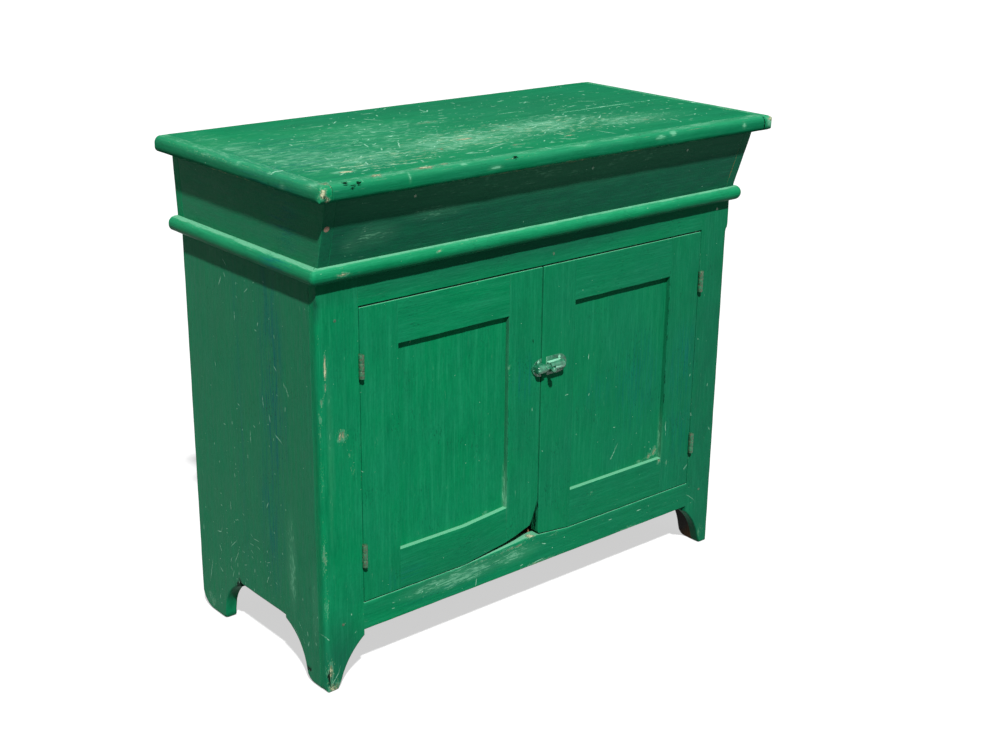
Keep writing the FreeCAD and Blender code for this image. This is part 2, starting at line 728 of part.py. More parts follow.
# ---- Doors ------------------------------------------------------------------------------------
class Door:
    """One framed door; u runs from its hinge edge to its meeting edge."""

    def __init__(self, side):
        self.side = side
        self.hinge_x = open_left + hinge_side_gap if side < 0 else open_right - hinge_side_gap
        self.free_x = meeting_x + side * meeting_gap / 2
        self.width = abs(self.free_x - self.hinge_x)
        self.hinge_w = left_hinge_stile_w if side < 0 else right_hinge_stile_w
        self.meeting_w = left_meeting_stile_w if side < 0 else right_meeting_stile_w
        self.panel_low = door_low + door_rail_w
        self.panel_high = door_high - door_rail_w

    def x(self, u):
        return self.hinge_x - self.side * u

    def bar(self, u0, u1, y0, y1, z0, z1):
        return box(self.x(u0), self.x(u1), y0, y1, z0, z1)

    def groove(self, u0, u1, z0, z1):
        """Slot for the panel, in line with the tenons."""
        y = FRONT + panel_recess
        return self.bar(u0, u1, y - panel_play, y + panel_t + panel_play, z0, z1)

    def tenon(self, u0, u1, top, extra=0.0):
        """Tenon of the top or bottom rail between two stations."""
        if top:
            low, high = self.panel_high + groove_depth, door_high - door_tenon_haunch
        else:
            low, high = door_low + door_tenon_haunch, self.panel_low - groove_depth
        return self.groove(u0 - extra, u1 + extra, low, high)

    def stile(self, meeting):
        """Upright of the door frame with its groove and mortises."""
        inner = self.width - self.meeting_w if meeting else self.hinge_w
        outer = self.width if meeting else 0.0
        toward = 1 if meeting else -1
        upright = self.bar(inner, outer, FRONT, door_back, door_low, door_high)
        slot = self.groove(inner, inner + toward * groove_depth, self.panel_low - groove_depth,
                           self.panel_high + groove_depth)
        deep = inner + toward * (door_tenon_len + tenon_end_gap)
        return sink(upright, [slot, self.tenon(*sorted((inner, deep)), True),
                              self.tenon(*sorted((inner, deep)), False)] + self.eased(outer))

    def eased(self, u):
        """Chamfer bar along the front arris of an upright's outer edge."""
        inward = V(self.side if u > 0 else -self.side, 0, 0) * arris
        edge = V(self.x(u), FRONT, door_low)
        return [chamfer_bar(edge, edge + V(0, 0, door_high - door_low), inward, V(0, arris, 0))]

    def rail(self, top):
        """Rail between the stiles, grooved for the panel and tenoned at both ends."""
        u0, u1 = self.hinge_w, self.width - self.meeting_w
        low, high = (self.panel_high, door_high) if top else (door_low, self.panel_low)
        body = self.bar(u0, u1, FRONT, door_back, low, high)
        tenon = self.tenon(u0 - door_tenon_len, u1 + door_tenon_len, top)
        slot_low, slot_high = (low, low + groove_depth) if top else (high - groove_depth, high)
        return fuse([body, tenon]).cut(self.groove(u0, u1, slot_low, slot_high))

    def panel(self):
        """Flat panel that floats in the grooves."""
        u0, u1 = self.hinge_w - panel_tongue, self.width - self.meeting_w + panel_tongue
        y = FRONT + panel_recess
        return self.bar(u0, u1, y, y + panel_t, self.panel_low - panel_tongue, self.panel_high + panel_tongue)

    def worn_corner(self):
        """Block that planes off the lower free corner of the left door."""
        far, low = self.width, door_low
        turn_u = far - worn_edge_in
        turn_v = low + worn_edge_turn
        k = worn_turn_r * 0.6
        steps = [
            (self.x(far + 1), low + worn_edge_h), (self.x(far), low + worn_edge_h),
            (self.x(turn_u + k * 0.3), turn_v + k),
            (self.x(turn_u - k * 0.2), turn_v - k * 0.2, self.x(turn_u - worn_turn_r), turn_v - k),
            (self.x(far - worn_bottom_mid), low + worn_bottom_rise),
            (self.x(far - worn_bottom_len), low), (self.x(far - worn_bottom_len), low - 1),
        ]
        return prism("xz", (self.x(far + 1), low - 1), steps, FRONT - 1, door_back + 1)

    def round_corner(self):
        """Block that slopes the right door's bottom edge over the rail's peak and rounds its corner."""
        r = right_corner_r
        end = crown_x + crown_right
        edge = self.x(self.width)
        rise = crown_h * (end - edge) / crown_right
        slope = (edge + r, door_low + rise * (1 - r / (end - edge)))
        steps = [
            (edge - 1, slope[1] + r), (edge, slope[1] + r),
            (*quarter_mid(edge + r, slope[1] + r, -r, -r), *slope), (end, door_low), (end, door_low - 1),
        ]
        return prism("xz", (edge - 1, door_low - 1), steps, FRONT - 1, door_back + 1)

    def pieces(self, hinges):
        """The five wooden pieces with corners worn and hinge beds and screw holes cut."""
        corner = self.worn_corner() if self.side < 0 else self.round_corner()
        hinge_stile = sink(self.stile(False), hinges["moving_beds"] + hinges["moving_screws"])
        return {
            "stile_hinge": hinge_stile,
            "stile_meeting": self.stile(True).cut(corner),
            "rail_top": self.rail(True),
            "rail_bottom": self.rail(False).cut(corner),
            "panel": self.panel(),
        }


# ---- Cupboard latch ---------------------------------------------------------------------------
def latch_plate(edge_x):
    """Cast plate with a slotted barrel for the bolt, on the right door."""
    x0 = edge_x + latch_edge_gap
    x1 = edge_x + latch_plate_len
    half = latch_h / 2
    shoulder = x1 - latch_point
    plate = prism("xz", (x0, latch_z - half), [
        (shoulder, latch_z - half),
        (x1 - latch_point * 0.25, latch_z - half * 0.55, x1, latch_z),
        (x1 - latch_point * 0.25, latch_z + half * 0.55, shoulder, latch_z + half),
        (x0, latch_z + half),
    ], FRONT - latch_plate_t, FRONT)
    outer = bolt_r + bolt_play + barrel_wall
    bar_end = x0 + barrel_len
    body = fuse([
        plate,
        latch_bar(outer, V(x0, bolt_y, latch_z), V(bar_end, bolt_y, latch_z), barrel_bevel),
        box(x0, bar_end - barrel_bevel, bolt_y, FRONT - latch_plate_t / 2, latch_z - outer, latch_z + outer),
    ])
    body = body.common(box(x0, x1, bolt_y - outer - 1, FRONT, latch_z - half, latch_z + half))
    stem_x = edge_x - bolt_nose_out + bolt_stem_back
    slot_end = stem_x + bolt_draw + stem_r + bolt_play
    bore_end = edge_x - bolt_nose_out + bolt_len + bolt_draw + bolt_play
    return sink(body, [
        latch_bar(bolt_r + bolt_play, V(x0 - 1, bolt_y, latch_z), V(bore_end, bolt_y, latch_z), flats=True),
        box(x0 - 1, slot_end, bolt_y - outer - 1, bolt_y, latch_z - stem_r - bolt_play,
            latch_z + stem_r + bolt_play),
    ])


def latch_bolt(edge_x):
    """Sliding bolt with its stem and ball knob, drawn back just clear of the keeper."""
    nose = edge_x - bolt_nose_out
    body = latch_bar(bolt_r, V(nose + bolt_len, bolt_y, latch_z), V(nose, bolt_y, latch_z), bolt_nose)
    middle = V(nose + bolt_stem_back, FRONT - knob_reach, latch_z)
    stem = latch_bar(stem_r, V(middle.x, bolt_y, latch_z), middle)
    return fuse([body, stem, ball(knob_r, middle, V(0, 1, 0))])


def latch_keeper(edge_x):
    """Cast keeper with a hollow dome for the bolt's nose, on the left door."""
    x0 = edge_x - keeper_edge_gap
    half = latch_h / 2
    tip = x0 - keeper_len
    plate = prism("xz", (x0, latch_z - half), [
        (x0, latch_z + half), (x0 - keeper_len * 0.62, latch_z + half * 0.72, tip, latch_z),
        (x0 - keeper_len * 0.62, latch_z - half * 0.72, x0, latch_z - half),
    ], FRONT - latch_plate_t, FRONT)
    outer = bolt_r + bolt_play + barrel_wall
    dome_end = x0 - keeper_dome_len
    body = fuse([
        plate,
        latch_bar(outer, V(x0, bolt_y, latch_z), V(dome_end, bolt_y, latch_z), barrel_bevel),
        box(x0, dome_end + barrel_bevel, bolt_y, FRONT - latch_plate_t / 2, latch_z - outer, latch_z + outer),
    ])
    body = body.common(box(tip, x0, bolt_y - outer - 1, FRONT, latch_z - half, latch_z + half))
    return body.cut(latch_bar(bolt_r + bolt_play, V(x0 + 1, bolt_y, latch_z), V(x0 - keeper_depth, bolt_y, latch_z),
                              flats=True))


def latch_screws(xs):
    """Screws above and below the barrel at each station, through a plate into a door."""
    lift = (latch_h / 2 + bolt_r + bolt_play + barrel_wall) / 2 - 0.6
    return [screw(V(x, FRONT - latch_plate_t, latch_z + sign * lift), V(0, 1, 0), leaf_screw_len)
            for x in xs for sign in (-1, 1)]


# ---- Turn button ------------------------------------------------------------------------------
def turn_button(x, z):
    """Wooden button on the back of the left door, lying level when it is undone."""
    r = button_w / 2
    flat = button_len / 2 - r
    front = door_back + button_gap
    return prism("xz", (x - flat, z - r), [
        (x + flat, z - r), (x + flat + r, z, x + flat, z + r), (x - flat, z + r), (x - flat - r, z, x - flat, z - r),
    ], front, front + button_t)


def button_screw(x, z):
    """Round-headed pivot screw through the button into the meeting stile."""
    rear = V(x, door_back + button_gap + button_t + pin_play, z)
    shank = faceted(knuckle_sides, [(rear, screw_shank_r), (rear - V(0, button_screw_len, 0), screw_shank_r)])
    head = faceted(knuckle_sides, [(rear, screw_head_r), (rear + V(0, screw_shank_r, 0), screw_head_r * 0.8)])
    return fuse([shank, head])


# ---- Assembly ---------------------------------------------------------------------------------
def build():
    """Every piece by name."""
    parts = {}
    left, right = Door(-1), Door(1)
    hinges = {-1: door_hinges(-1), 1: door_hinges(1)}
    lid_set = lid_hinges()

    for side, name in ((-1, "left"), (1, "right")):
        parts["side_" + name] = side_board(side)
        cuts = frame_mortises(side) + hinges[side]["fixed_beds"] + hinges[side]["fixed_screws"]
        parts["face_stile_" + name] = sink(face_stile(side), cuts)
        parts["shelf_cleat_" + name] = shelf_cleat(side)
        parts["well_end_" + name] = well_end(side)
        parts["bead_" + name] = bead_end(side)
        parts["lid_nosing_" + name] = lid_nosing_end(side)
        parts["lid_batten_" + name] = sink(lid_batten(side), batten_screws())
    parts["face_rail_top"] = frame_rail(open_high, case_h)
    parts["face_rail_bottom"] = fuse([frame_rail(bottom_rail_low, open_low), rail_crown()])
    for i, board in enumerate(back_boards()):
        parts["back_board_%d" % (i + 1)] = board
    parts["cupboard_floor"] = housed_floor(open_low)
    parts["well_floor"] = housed_floor(case_h)
    parts["shelf"] = shelf()
    parts["door_stops"] = door_stops()
    parts["well_front"] = well_front()
    parts["well_back"] = sink(well_back(), lid_set["fixed_beds"] + lid_set["fixed_screws"])
    parts["bead_front"] = bead_front()

    front_board, rear_board = lid_boards()
    parts["lid_board_front"] = sink(front_board, batten_screws())
    parts["lid_board_rear"] = sink(rear_board, batten_screws() + lid_set["moving_beds"] + lid_set["moving_screws"])
    parts["lid_nosing_front"] = lid_nosing_front()
    parts["lid_hinge_leaves_well"] = Part.makeCompound(lid_set["fixed"])
    parts["lid_hinge_leaves_lid"] = Part.makeCompound(lid_set["moving"])
    parts["lid_hinge_pins"] = Part.makeCompound(lid_set["pins"])
    parts["lid_screws"] = Part.makeCompound(batten_screws() + lid_set["moving_screws"])

    plate_screws = latch_screws([right.free_x + latch_plate_len - latch_point - screw_head_r])
    keeper_screws = latch_screws([left.free_x - keeper_edge_gap - keeper_len * 0.35])
    button_at = (left.free_x - button_in, door_high - button_below)
    pivot = button_screw(*button_at)
    hole = faceted(knuckle_sides, [(V(button_at[0], y, button_at[1]), screw_shank_r + pin_play)
                                   for y in (FRONT, door_back + button_gap + 2 * button_t)], True)
    for door, name, screws in ((left, "left", keeper_screws), (right, "right", plate_screws)):
        pieces = door.pieces(hinges[door.side])
        pieces["stile_meeting"] = sink(pieces["stile_meeting"], screws)
        if door is left:
            pieces["stile_meeting"] = pieces["stile_meeting"].cut(pivot)
        for piece, shape in pieces.items():
            parts["door_%s_%s" % (name, piece)] = shape
        parts["door_%s_hinge_leaves_frame" % name] = Part.makeCompound(hinges[door.side]["fixed"])
        parts["door_%s_hinge_leaves_door" % name] = Part.makeCompound(hinges[door.side]["moving"])
        parts["door_%s_hinge_pins" % name] = Part.makeCompound(hinges[door.side]["pins"])
        parts["door_%s_screws" % name] = Part.makeCompound(hinges[door.side]["moving_screws"] + screws)
    parts["case_screws"] = Part.makeCompound(
        hinges[-1]["fixed_screws"] + hinges[1]["fixed_screws"] + lid_set["fixed_screws"])

    parts["latch_plate"] = sink(latch_plate(right.free_x), plate_screws)
    parts["latch_bolt"] = latch_bolt(right.free_x)
    parts["latch_keeper"] = sink(latch_keeper(left.free_x), keeper_screws)
    parts["turn_button"] = turn_button(*button_at).cut(hole)
    parts["turn_button_screw"] = pivot
    return parts


def main():
    os.makedirs("parts", exist_ok=True)
    for name, shape in build().items():
        if not shape.isValid():
            raise ValueError(name + " is not a valid shape")
        shape.exportStep("parts/%s.step" % name)


main()
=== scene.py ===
"""Looks of a dry sink cabinet: old green paint on pine, worn through on its arrises.

Lengths inside this file are millimetres in the cabinet's own frame, and metres once they reach a
mesh. Left and right are as the doors are faced.
"""

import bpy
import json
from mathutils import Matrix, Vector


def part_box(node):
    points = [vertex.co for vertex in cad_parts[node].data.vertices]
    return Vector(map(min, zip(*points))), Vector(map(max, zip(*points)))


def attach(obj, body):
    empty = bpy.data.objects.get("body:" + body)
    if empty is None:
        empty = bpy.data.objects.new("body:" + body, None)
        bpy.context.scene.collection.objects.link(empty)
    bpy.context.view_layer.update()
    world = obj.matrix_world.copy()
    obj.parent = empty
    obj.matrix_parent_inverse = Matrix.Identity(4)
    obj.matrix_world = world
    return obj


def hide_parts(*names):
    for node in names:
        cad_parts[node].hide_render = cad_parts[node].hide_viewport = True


bl_info = {
    "name": "Dry Sink Cabinet",
    "version": (1, 0, 0),
    "blender": (4, 5, 0),
    "location": "View3D > Sidebar > Dry Sink",
    "description": "Dresses the frame of a dry sink cabinet with painted boards, hinges and a latch",
    "category": "Object",
}

import json
import math

import bmesh
import bpy
import numpy as np
from mathutils import Matrix, Vector

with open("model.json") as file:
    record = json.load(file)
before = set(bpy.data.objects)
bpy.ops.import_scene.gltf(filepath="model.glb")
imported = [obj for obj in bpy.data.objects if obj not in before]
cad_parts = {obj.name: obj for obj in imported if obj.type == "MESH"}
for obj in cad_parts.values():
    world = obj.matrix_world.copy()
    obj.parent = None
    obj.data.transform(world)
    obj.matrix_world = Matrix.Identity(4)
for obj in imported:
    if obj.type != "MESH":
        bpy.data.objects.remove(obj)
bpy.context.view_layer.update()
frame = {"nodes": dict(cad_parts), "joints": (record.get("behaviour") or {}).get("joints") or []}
MM = 0.001


def corners(node):
    """Lowest and highest corner of a frame node, in millimetres."""
    low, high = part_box(node)
    return np.array(low) / MM, np.array(high) / MM


def linear(code):
    """Linear colour from an sRGB hex code."""
    parts = [int(code[i:i + 2], 16) / 255 for i in (0, 2, 4)]
    return tuple(c / 12.92 if c <= 0.04045 else ((c + 0.055) / 1.055) ** 2.4 for c in parts)


# ---- Places and finishes that pieces share -------------------------------------------------------
STILE_LEFT_LOW, STILE_LEFT_HIGH = corners("face_stile_left")
STILE_RIGHT_LOW = corners("face_stile_right")[0]
FRONT = STILE_LEFT_LOW[1]
HALF_W, CASE_BACK, CASE_TOP = corners("side_right")[1]
WELL_H = corners("well_front")[1][2] - CASE_TOP
# How far the well's front and its ends lean out over that height.
FLARE = FRONT - corners("well_front")[0][1]
LEAN = corners("well_back")[1][0] - HALF_W
DOOR_LOW = corners("door_left_stile_hinge")[0][2]
# Left and right: the sign along x, the name, and the outer and inner faces of what stands there.
SIDES = ((-1, "left", "x-", "x+"), (1, "right", "x+", "x-"))
# A rail runs in behind the stiles by TUCK at each end, and its face stands back from theirs by SHY.
TUCK, SHY = 0.6, 0.05
# Each finish is one of the record's slots and the material shown on it.
PAINTED = ("painted_pine", "old_green_paint")
RUBBED = ("painted_pine", "rubbed_green_paint")
BARE = ("bare_pine", "aged_bare_pine")
HINGE = ("hinge_steel", "rusted_steel")


# ---- Surfaces ------------------------------------------------------------------------------------
# Distances from an arris at which a board may have a grid line.
NEAR = np.array([0.0, 0.35, 0.8, 1.5, 2.6, 4.4, 7.0, 10.0])
# Lengths of the waves that a hand plane leaves across a board, and of their drift along it.
PLANE_WAVES = (31.0, 57.0, 103.0)
DRIFT_WAVES = (310.0, 520.0, 760.0)
# Angle in degrees between two faces past which the shading breaks.
SHARP = 40
# Wear falls off over this distance from an arris, and comes and goes along it over these waves.
WEAR_REACH = 2.5
WEAR_WAVES = (61.0, 137.0, 211.0)


def grid_lines(low, high, step, near, extra):
    """Grid lines along one side of a board: close together as far as near from each end, and a
    step apart between."""
    close = NEAR[(NEAR <= near) & (NEAR < (high - low) * 0.45)]
    inner = (low + close[-1], high - close[-1])
    count = max(1, int(round((inner[1] - inner[0]) / step)))
    extra = np.array(extra, float)
    lines = [low + close, np.linspace(*inner, count + 1)[1:-1], high - close,
             extra[(extra > low) & (extra < high)]]
    return np.unique(np.round(np.concatenate(lines), 4))


def wander(s, seed, waves=(47.0, 83.0, 149.0)):
    """Slow random curve between about -1 and 1: a sum of three sine waves of s, in millimetres."""
    turns = np.random.default_rng(seed).uniform(0, math.tau, len(waves))
    return sum(np.sin(s * math.tau / wave + turn) for wave, turn in zip(waves, turns)) / 2.2


class Skin:
    """Closed surface made of four-sided faces.

    points are millimetres, grain holds a board's own place (along the grain, across, through) and
    edge is the distance to the nearest arris.
    """

    def __init__(self, points, quads, grain=None, edge=None):
        self.points = np.array(points, float)
        self.quads = np.array(quads, int)
        self.grain = self.points.copy() if grain is None else grain
        self.edge = np.full(len(points), 1000.0) if edge is None else edge

    def __add__(self, other):
        return Skin(np.vstack([self.points, other.points]),
                    np.vstack([self.quads, other.quads + len(self.points)]),
                    np.vstack([self.grain, other.grain]), np.concatenate([self.edge, other.edge]))

    def bent(self, move):
        """The same surface with its points moved by a function of x, y and z."""
        self.points = np.stack(move(*self.points.T), -1)
        return self


def drawn_in(va, vb, radius):
    """Share that is left of a point's reach past the start of a rounding, va one way and vb the
    other, when it is pulled in to the quarter circle: the radius over that reach. It is 1 for a point
    that isn't past both starts, or that lies inside the circle."""
    reach = np.hypot(va, vb)
    return np.where((va > 0) & (vb > 0) & (reach > radius), radius / np.maximum(reach, 1e-9), 1.0)


def ease(points, low, high, radius, arrises, seed):
    """Rounds the twelve arrises of a box.

    A point nearer than the radius to two faces is pulled in to the quarter circle that touches
    both. The radius wanders along the arris, as wear does: by 0.4 of a small one, and by 0.04 of
    one of 4 mm or more. An arris may have a pair of lists instead of a radius: places along it,
    and the radius at each.
    """
    for k in range(3):
        i, j = (k + 1) % 3, (k + 2) % 3
        for side_i in (-1, 1):
            for side_j in (-1, 1):
                key = frozenset(("xyz"[i] + "-+"[side_i > 0], "xyz"[j] + "-+"[side_j > 0]))
                size = arrises.get(key, radius)
                size = (np.interp(points[:, k], *size) if isinstance(size, tuple)
                        else np.full(len(points), size))
                seed += 1
                r = size * (1 + np.where(size < 4, 0.4, 0.04) * wander(points[:, k], seed))
                a = (high[i] - points[:, i]) if side_i > 0 else (points[:, i] - low[i])
                b = (high[j] - points[:, j]) if side_j > 0 else (points[:, j] - low[j])
                pull = drawn_in(r - a, r - b, r) - 1
                points[:, i] += side_i * (r - a) * pull
                points[:, j] += side_j * (r - b) * pull


def board(low, high, along, step, radius, flat, arrises=None, lines=None, seed=0):
    """Sawn and planed board between two corners, with its grain along an axis.

    The surface is a grid over the six faces of a box. Its arrises are rounded, and each face
    rises and falls by a sum of slow sine waves across the board that drift along it, as a hand
    plane leaves it. arrises maps a pair of faces such as "x- z+" to a radius of its own, and lines
    maps an axis to places where the grid has a line too.
    """
    low, high = np.array(low, float), np.array(high, float)
    arrises = {frozenset(key.split()): value for key, value in (arrises or {}).items()}
    radii = [np.max(value[1] if isinstance(value, tuple) else value) for value in arrises.values()]
    near = max([1.5, radius] + [1.05 * value for value in radii])
    extra = lines or {}
    spacing = [grid_lines(low[k], high[k], step, near, extra.get("xyz"[k], ())) for k in range(3)]
    shape = [len(line) for line in spacing]
    index = np.arange(math.prod(shape)).reshape(shape)
    quads = []
    for axis in range(3):
        for end in (0, -1):
            face = np.moveaxis(index, axis, 0)[end]
            four = np.stack([face[:-1, :-1], face[1:, :-1], face[1:, 1:], face[:-1, 1:]], -1).reshape(-1, 4)
            quads.append(four[:, ::-1] if (end == 0) != (axis == 1) else four)
    quads = np.concatenate(quads)
    used, places = np.unique(quads.ravel(), return_inverse=True)
    quads = places.reshape(-1, 4)
    cells = np.unravel_index(used, shape)
    points = np.stack([spacing[k][cells[k]] for k in range(3)], -1)

    order = [along] + sorted((k for k in range(3) if k != along), key=lambda k: low[k] - high[k])
    away = np.minimum(points - low, high - points)
    edge = np.sort(away, axis=1)[:, 1]
    # A place of its own in the wood, so that no two boards share their grain.
    grain = points[:, order] + np.random.default_rng(seed).uniform(0, 3000, 3)
    ease(points, low, high, radius, arrises, seed * 12)
    drift = 12 * wander(points[:, along], seed + 5, DRIFT_WAVES)
    for k in range(3):
        if k != along:
            across = points[:, 3 - k - along] + drift
            side = (points[:, k] - (low[k] + high[k]) / 2) / ((high[k] - low[k]) / 2)
            points[:, k] -= side * flat * (0.55 + 0.45 * wander(across, seed + 7, PLANE_WAVES))
    return Skin(points, quads, grain, edge)


def turned(profile, middle, axis, sides=32):
    """Lathe-turned piece: rings of points at (distance, radius) along an axis, with quads between
    them, and closed at both ends by a ring drawn in to a thousandth."""
    profile = np.array(profile, float)
    axis = np.array(axis, float) / np.linalg.norm(axis)
    across = np.cross(axis, (0.0, 0.0, 1.0) if abs(axis[2]) < 0.9 else (1.0, 0.0, 0.0))
    across /= np.linalg.norm(across)
    over = np.cross(axis, across)
    turns = np.arange(sides) * math.tau / sides
    wheel = np.outer(np.cos(turns), across) + np.outer(np.sin(turns), over)
    rings = profile[:, None, 1, None] * wheel[None] + profile[:, None, 0, None] * axis
    rings = rings + np.array(middle, float)
    caps = [ring.mean(axis=0) + (ring - ring.mean(axis=0)) * 1e-3 for ring in (rings[0], rings[-1])]
    rings = np.concatenate([[caps[0]], rings, [caps[1]]])
    index = np.arange(len(rings) * sides).reshape(-1, sides)
    after = np.roll(index, -1, axis=1)
    quads = np.stack([index[:-1], after[:-1], after[1:], index[1:]], -1).reshape(-1, 4)
    return Skin(rings.reshape(-1, 3), quads)


def spread(points, spots):
    """Largest cover by soft ellipsoids: full in the inner quarter of a spot's radii, and nothing past
    1.25 of them."""
    cover = np.zeros(len(points))
    for x, y, z, rx, ry, rz, amount in spots:
        away = np.sqrt((((points - (x, y, z)) / (rx, ry, rz)) ** 2).sum(axis=1))
        cover = np.maximum(cover, amount * np.clip(1.25 - away, 0, 1) ** 0.8)
    return cover


def put(name, skin, body, finish=PAINTED, wear=0.0, dust=0.0, grime=0.0, bleach_and_light=1.0, chalk=0.0,
        bare=None):
    """Makes a piece of a surface, with its wear and grain as attributes, and joins it to the frame. It
    stands for the node of its name, if there is one.

    Arris wear falls off as an exponential and comes and goes along the arris with slow sine waves.
    Dust lies on what faces left or right. What faces up is lighter, as paint faded by the sun and as a
    painted highlight, and chalk lies on what is nearly level. What faces the front or back is darker
    with grime and painted shade, and what faces down with painted shade. Wear, chalk, and grime with its
    painted shade are at least what their tables of spots give; on what faces the front or back the dust
    colour is also laid as the painted light of its table. Faces that look the bare way were never painted.
    """
    slot, material = finish
    nodes = [name] if name in frame["nodes"] else []
    mesh = bpy.data.meshes.new(name)
    mesh.from_pydata(skin.points * MM, [], skin.quads.tolist())
    mesh.attributes.new("grain", "FLOAT_VECTOR", "POINT").data.foreach_set(
        "vector", (skin.grain * MM).astype(np.float32).ravel())
    normals = np.zeros(len(skin.points) * 3, np.float32)
    mesh.vertices.foreach_get("normal", normals)
    sideways, frontal, upward = normals.reshape(-1, 3).T
    worn, stained, scratched, chalky, grime_and_shade, dust_and_painted_light, split = [
        spread(skin.points, spots) for spots in (WORN, STAINED, SCRATCHED, CHALKY, GRIME_AND_SHADE, LIGHTENED_UNDER_LID, SPLITS_AND_SHADE)]
    uneven = 0.62 + 0.38 * wander(skin.grain.sum(axis=1), 7, WEAR_WAVES)
    worn = np.maximum(wear * uneven * np.exp(-skin.edge / WEAR_REACH), worn)
    level = np.clip((upward - 0.8) / 0.18, 0, 1)
    chalky = np.maximum(chalk * level, chalky)
    # What faces up is made lighter: paint faded by the sun, and a painted highlight where the sun falls on
    # it.
    bleached_and_lit = bleach_and_light * np.clip(upward * 1.2, 0, 1) ** 1.5
    # Darker where it faces the front or back, as grime and as painted shade; darker where it faces down, as
    # painted shade under things.
    grime_and_shade = np.maximum.reduce([grime * frontal ** 2, -0.9 * upward, grime_and_shade])
    # Dust lies on what faces sideways; on what faces the front or back the table's spots lay the dust colour
    # as painted light, lifting the shade under the lid.
    dust_and_painted_light = np.maximum(dust * sideways ** 2, dust_and_painted_light * frontal ** 2)
    for label, values in (("marks", (worn, stained, scratched, chalky)),
                          ("tones", (bleached_and_lit, grime_and_shade, dust_and_painted_light, split))):
        mesh.attributes.new(label, "FLOAT_COLOR", "POINT").data.foreach_set(
            "color", np.stack(values, -1).astype(np.float32).ravel())
    mesh.shade_smooth()
    mesh.set_sharp_from_angle(angle=math.radians(SHARP))
    mesh.materials.append(bpy.data.materials[material])
    if bare:
        mesh.materials.append(bpy.data.materials["aged_bare_pine"])
        looks = np.zeros(len(mesh.polygons) * 3, np.float32)
        mesh.polygons.foreach_get("normal", looks)
        unpainted = looks.reshape(-1, 3) @ np.array(bare, float) > 0.8
        mesh.polygons.foreach_set("material_index", unpainted.astype(np.int32))
    piece = bpy.data.objects.new(name, mesh)
    bpy.context.scene.collection.objects.link(piece)
    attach(piece, body)
    if nodes:
        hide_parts(*nodes)


# ---- Where the paint has gone, and where light and shade are painted on it -----------------------
# Each spot is a soft ellipsoid: x, y, z of its middle, its three radii, and how strong it is.

# Worn through: a pale bloom first, then brown, then bare wood.
WORN = [
    (-419.5, -180, 449, 15, 8, 17, 0.50),
    (-405, -180, 413, 8, 8, 12, 0.34),
    (-402, -180, 387, 8, 8, 12, 0.36),
    (-448, -180, 568, 4.5, 6, 30, 0.72),
    (-449, -180, 536, 4, 6, 14, 0.60),
    (-455, -180, 512, 5, 8, 12, 0.48),
    (-459, -180, 475, 6, 8, 40, 0.44),
    (-459, -180, 380, 6, 8, 50, 0.36),
    (-458, -180, 245, 7, 9, 50, 0.46),
    (-456, -180, 160, 7, 9, 40, 0.44),
    (-452, -180, 36, 10, 22, 34, 0.52),
    (-446, -180, 8, 18, 26, 18, 0.58),
    (-426, -180, 10, 20, 26, 14, 0.46),
    (-70, -180, 143, 66, 12, 7, 0.48),
    (-130, -180, 141, 60, 12, 5, 0.44),
    (-18, -176, 154, 16, 16, 8, 0.62),
    (40, -180, 141, 40, 10, 5, 0.40),
    (10, -180, 96, 90, 12, 6, 0.42),
    (230, -180, 96, 60, 12, 6, 0.40),
    (302, -171, 232, 9, 9, 16, 0.60),
    (288, -171, 226, 10, 9, 12, 0.55),
    (306, -176, 214, 8, 12, 14, 0.58),
    (262, -171, 221, 26, 8, 5, 0.48),
    (328, -180, 205, 8, 8, 12, 0.42),
    (131, -180, 196, 12, 8, 7, 0.42),
    (-120, -171, 226, 12, 8, 6, 0.46),
    (-236, -180, 231, 26, 8, 5, 0.38),
    (-74, -176, 487, 4, 12, 9, 0.60),
    (-423, -199, 716, 20, 10, 7, 0.50),
    (-240, -199, 722, 12, 8, 5, 0.44),
    (-101, -89, 866, 40, 12, 6, 0.54),
    (-53, 66, 866, 50, 14, 6, 0.48),
    (30, -50, 866, 30, 12, 6, 0.50),
    (24, -83, 866, 90, 40, 6, 0.40),
    (258, -137, 866, 60, 30, 6, 0.42),
    (212, 22, 866, 16, 9, 6, 0.50),
    (-203, -127, 866, 80, 30, 6, 0.40),
    (-380, -228, 866, 22, 16, 7, 0.56),
    (-289, -226, 866, 34, 14, 7, 0.58),
    (-250, -222, 866, 24, 10, 6, 0.52),
    (-470, -226, 866, 16, 14, 7, 0.52),
    (-452, 159, 866, 14, 8, 6, 0.44),
    (-484, -240, 854, 9, 9, 12, 0.78),
    (-478, -244, 846, 8, 8, 8, 0.60),
    (489, -238, 858, 10, 14, 14, 0.60),
    (0, -241, 841, 520, 9, 5, 0.46),
    (-491, 0, 841, 7, 260, 5, 0.46),
    (0, -200, 701, 480, 9, 5, 0.46),
    (-480, 0, 700, 9, 230, 5, 0.46),
    (438, -180, 28, 12, 14, 20, 0.40),
    (-461, 190, 20, 12, 34, 24, 0.40),
    (-404, -181, 866, 15, 7, 6, 0.72),
    (-396, -184, 866, 10, 5, 6, 0.66),
    (-60, -176, 866, 30, 8, 6, 0.56),
    (60, -168, 866, 26, 8, 6, 0.52),
    (486, -243, 860, 12, 5, 10, 0.55),
    (0, 236, 866, 520, 6, 7, 0.46),
    (491, 0, 862, 6, 250, 8, 0.46),
    (-491, 60, 862, 6, 180, 8, 0.34),
]
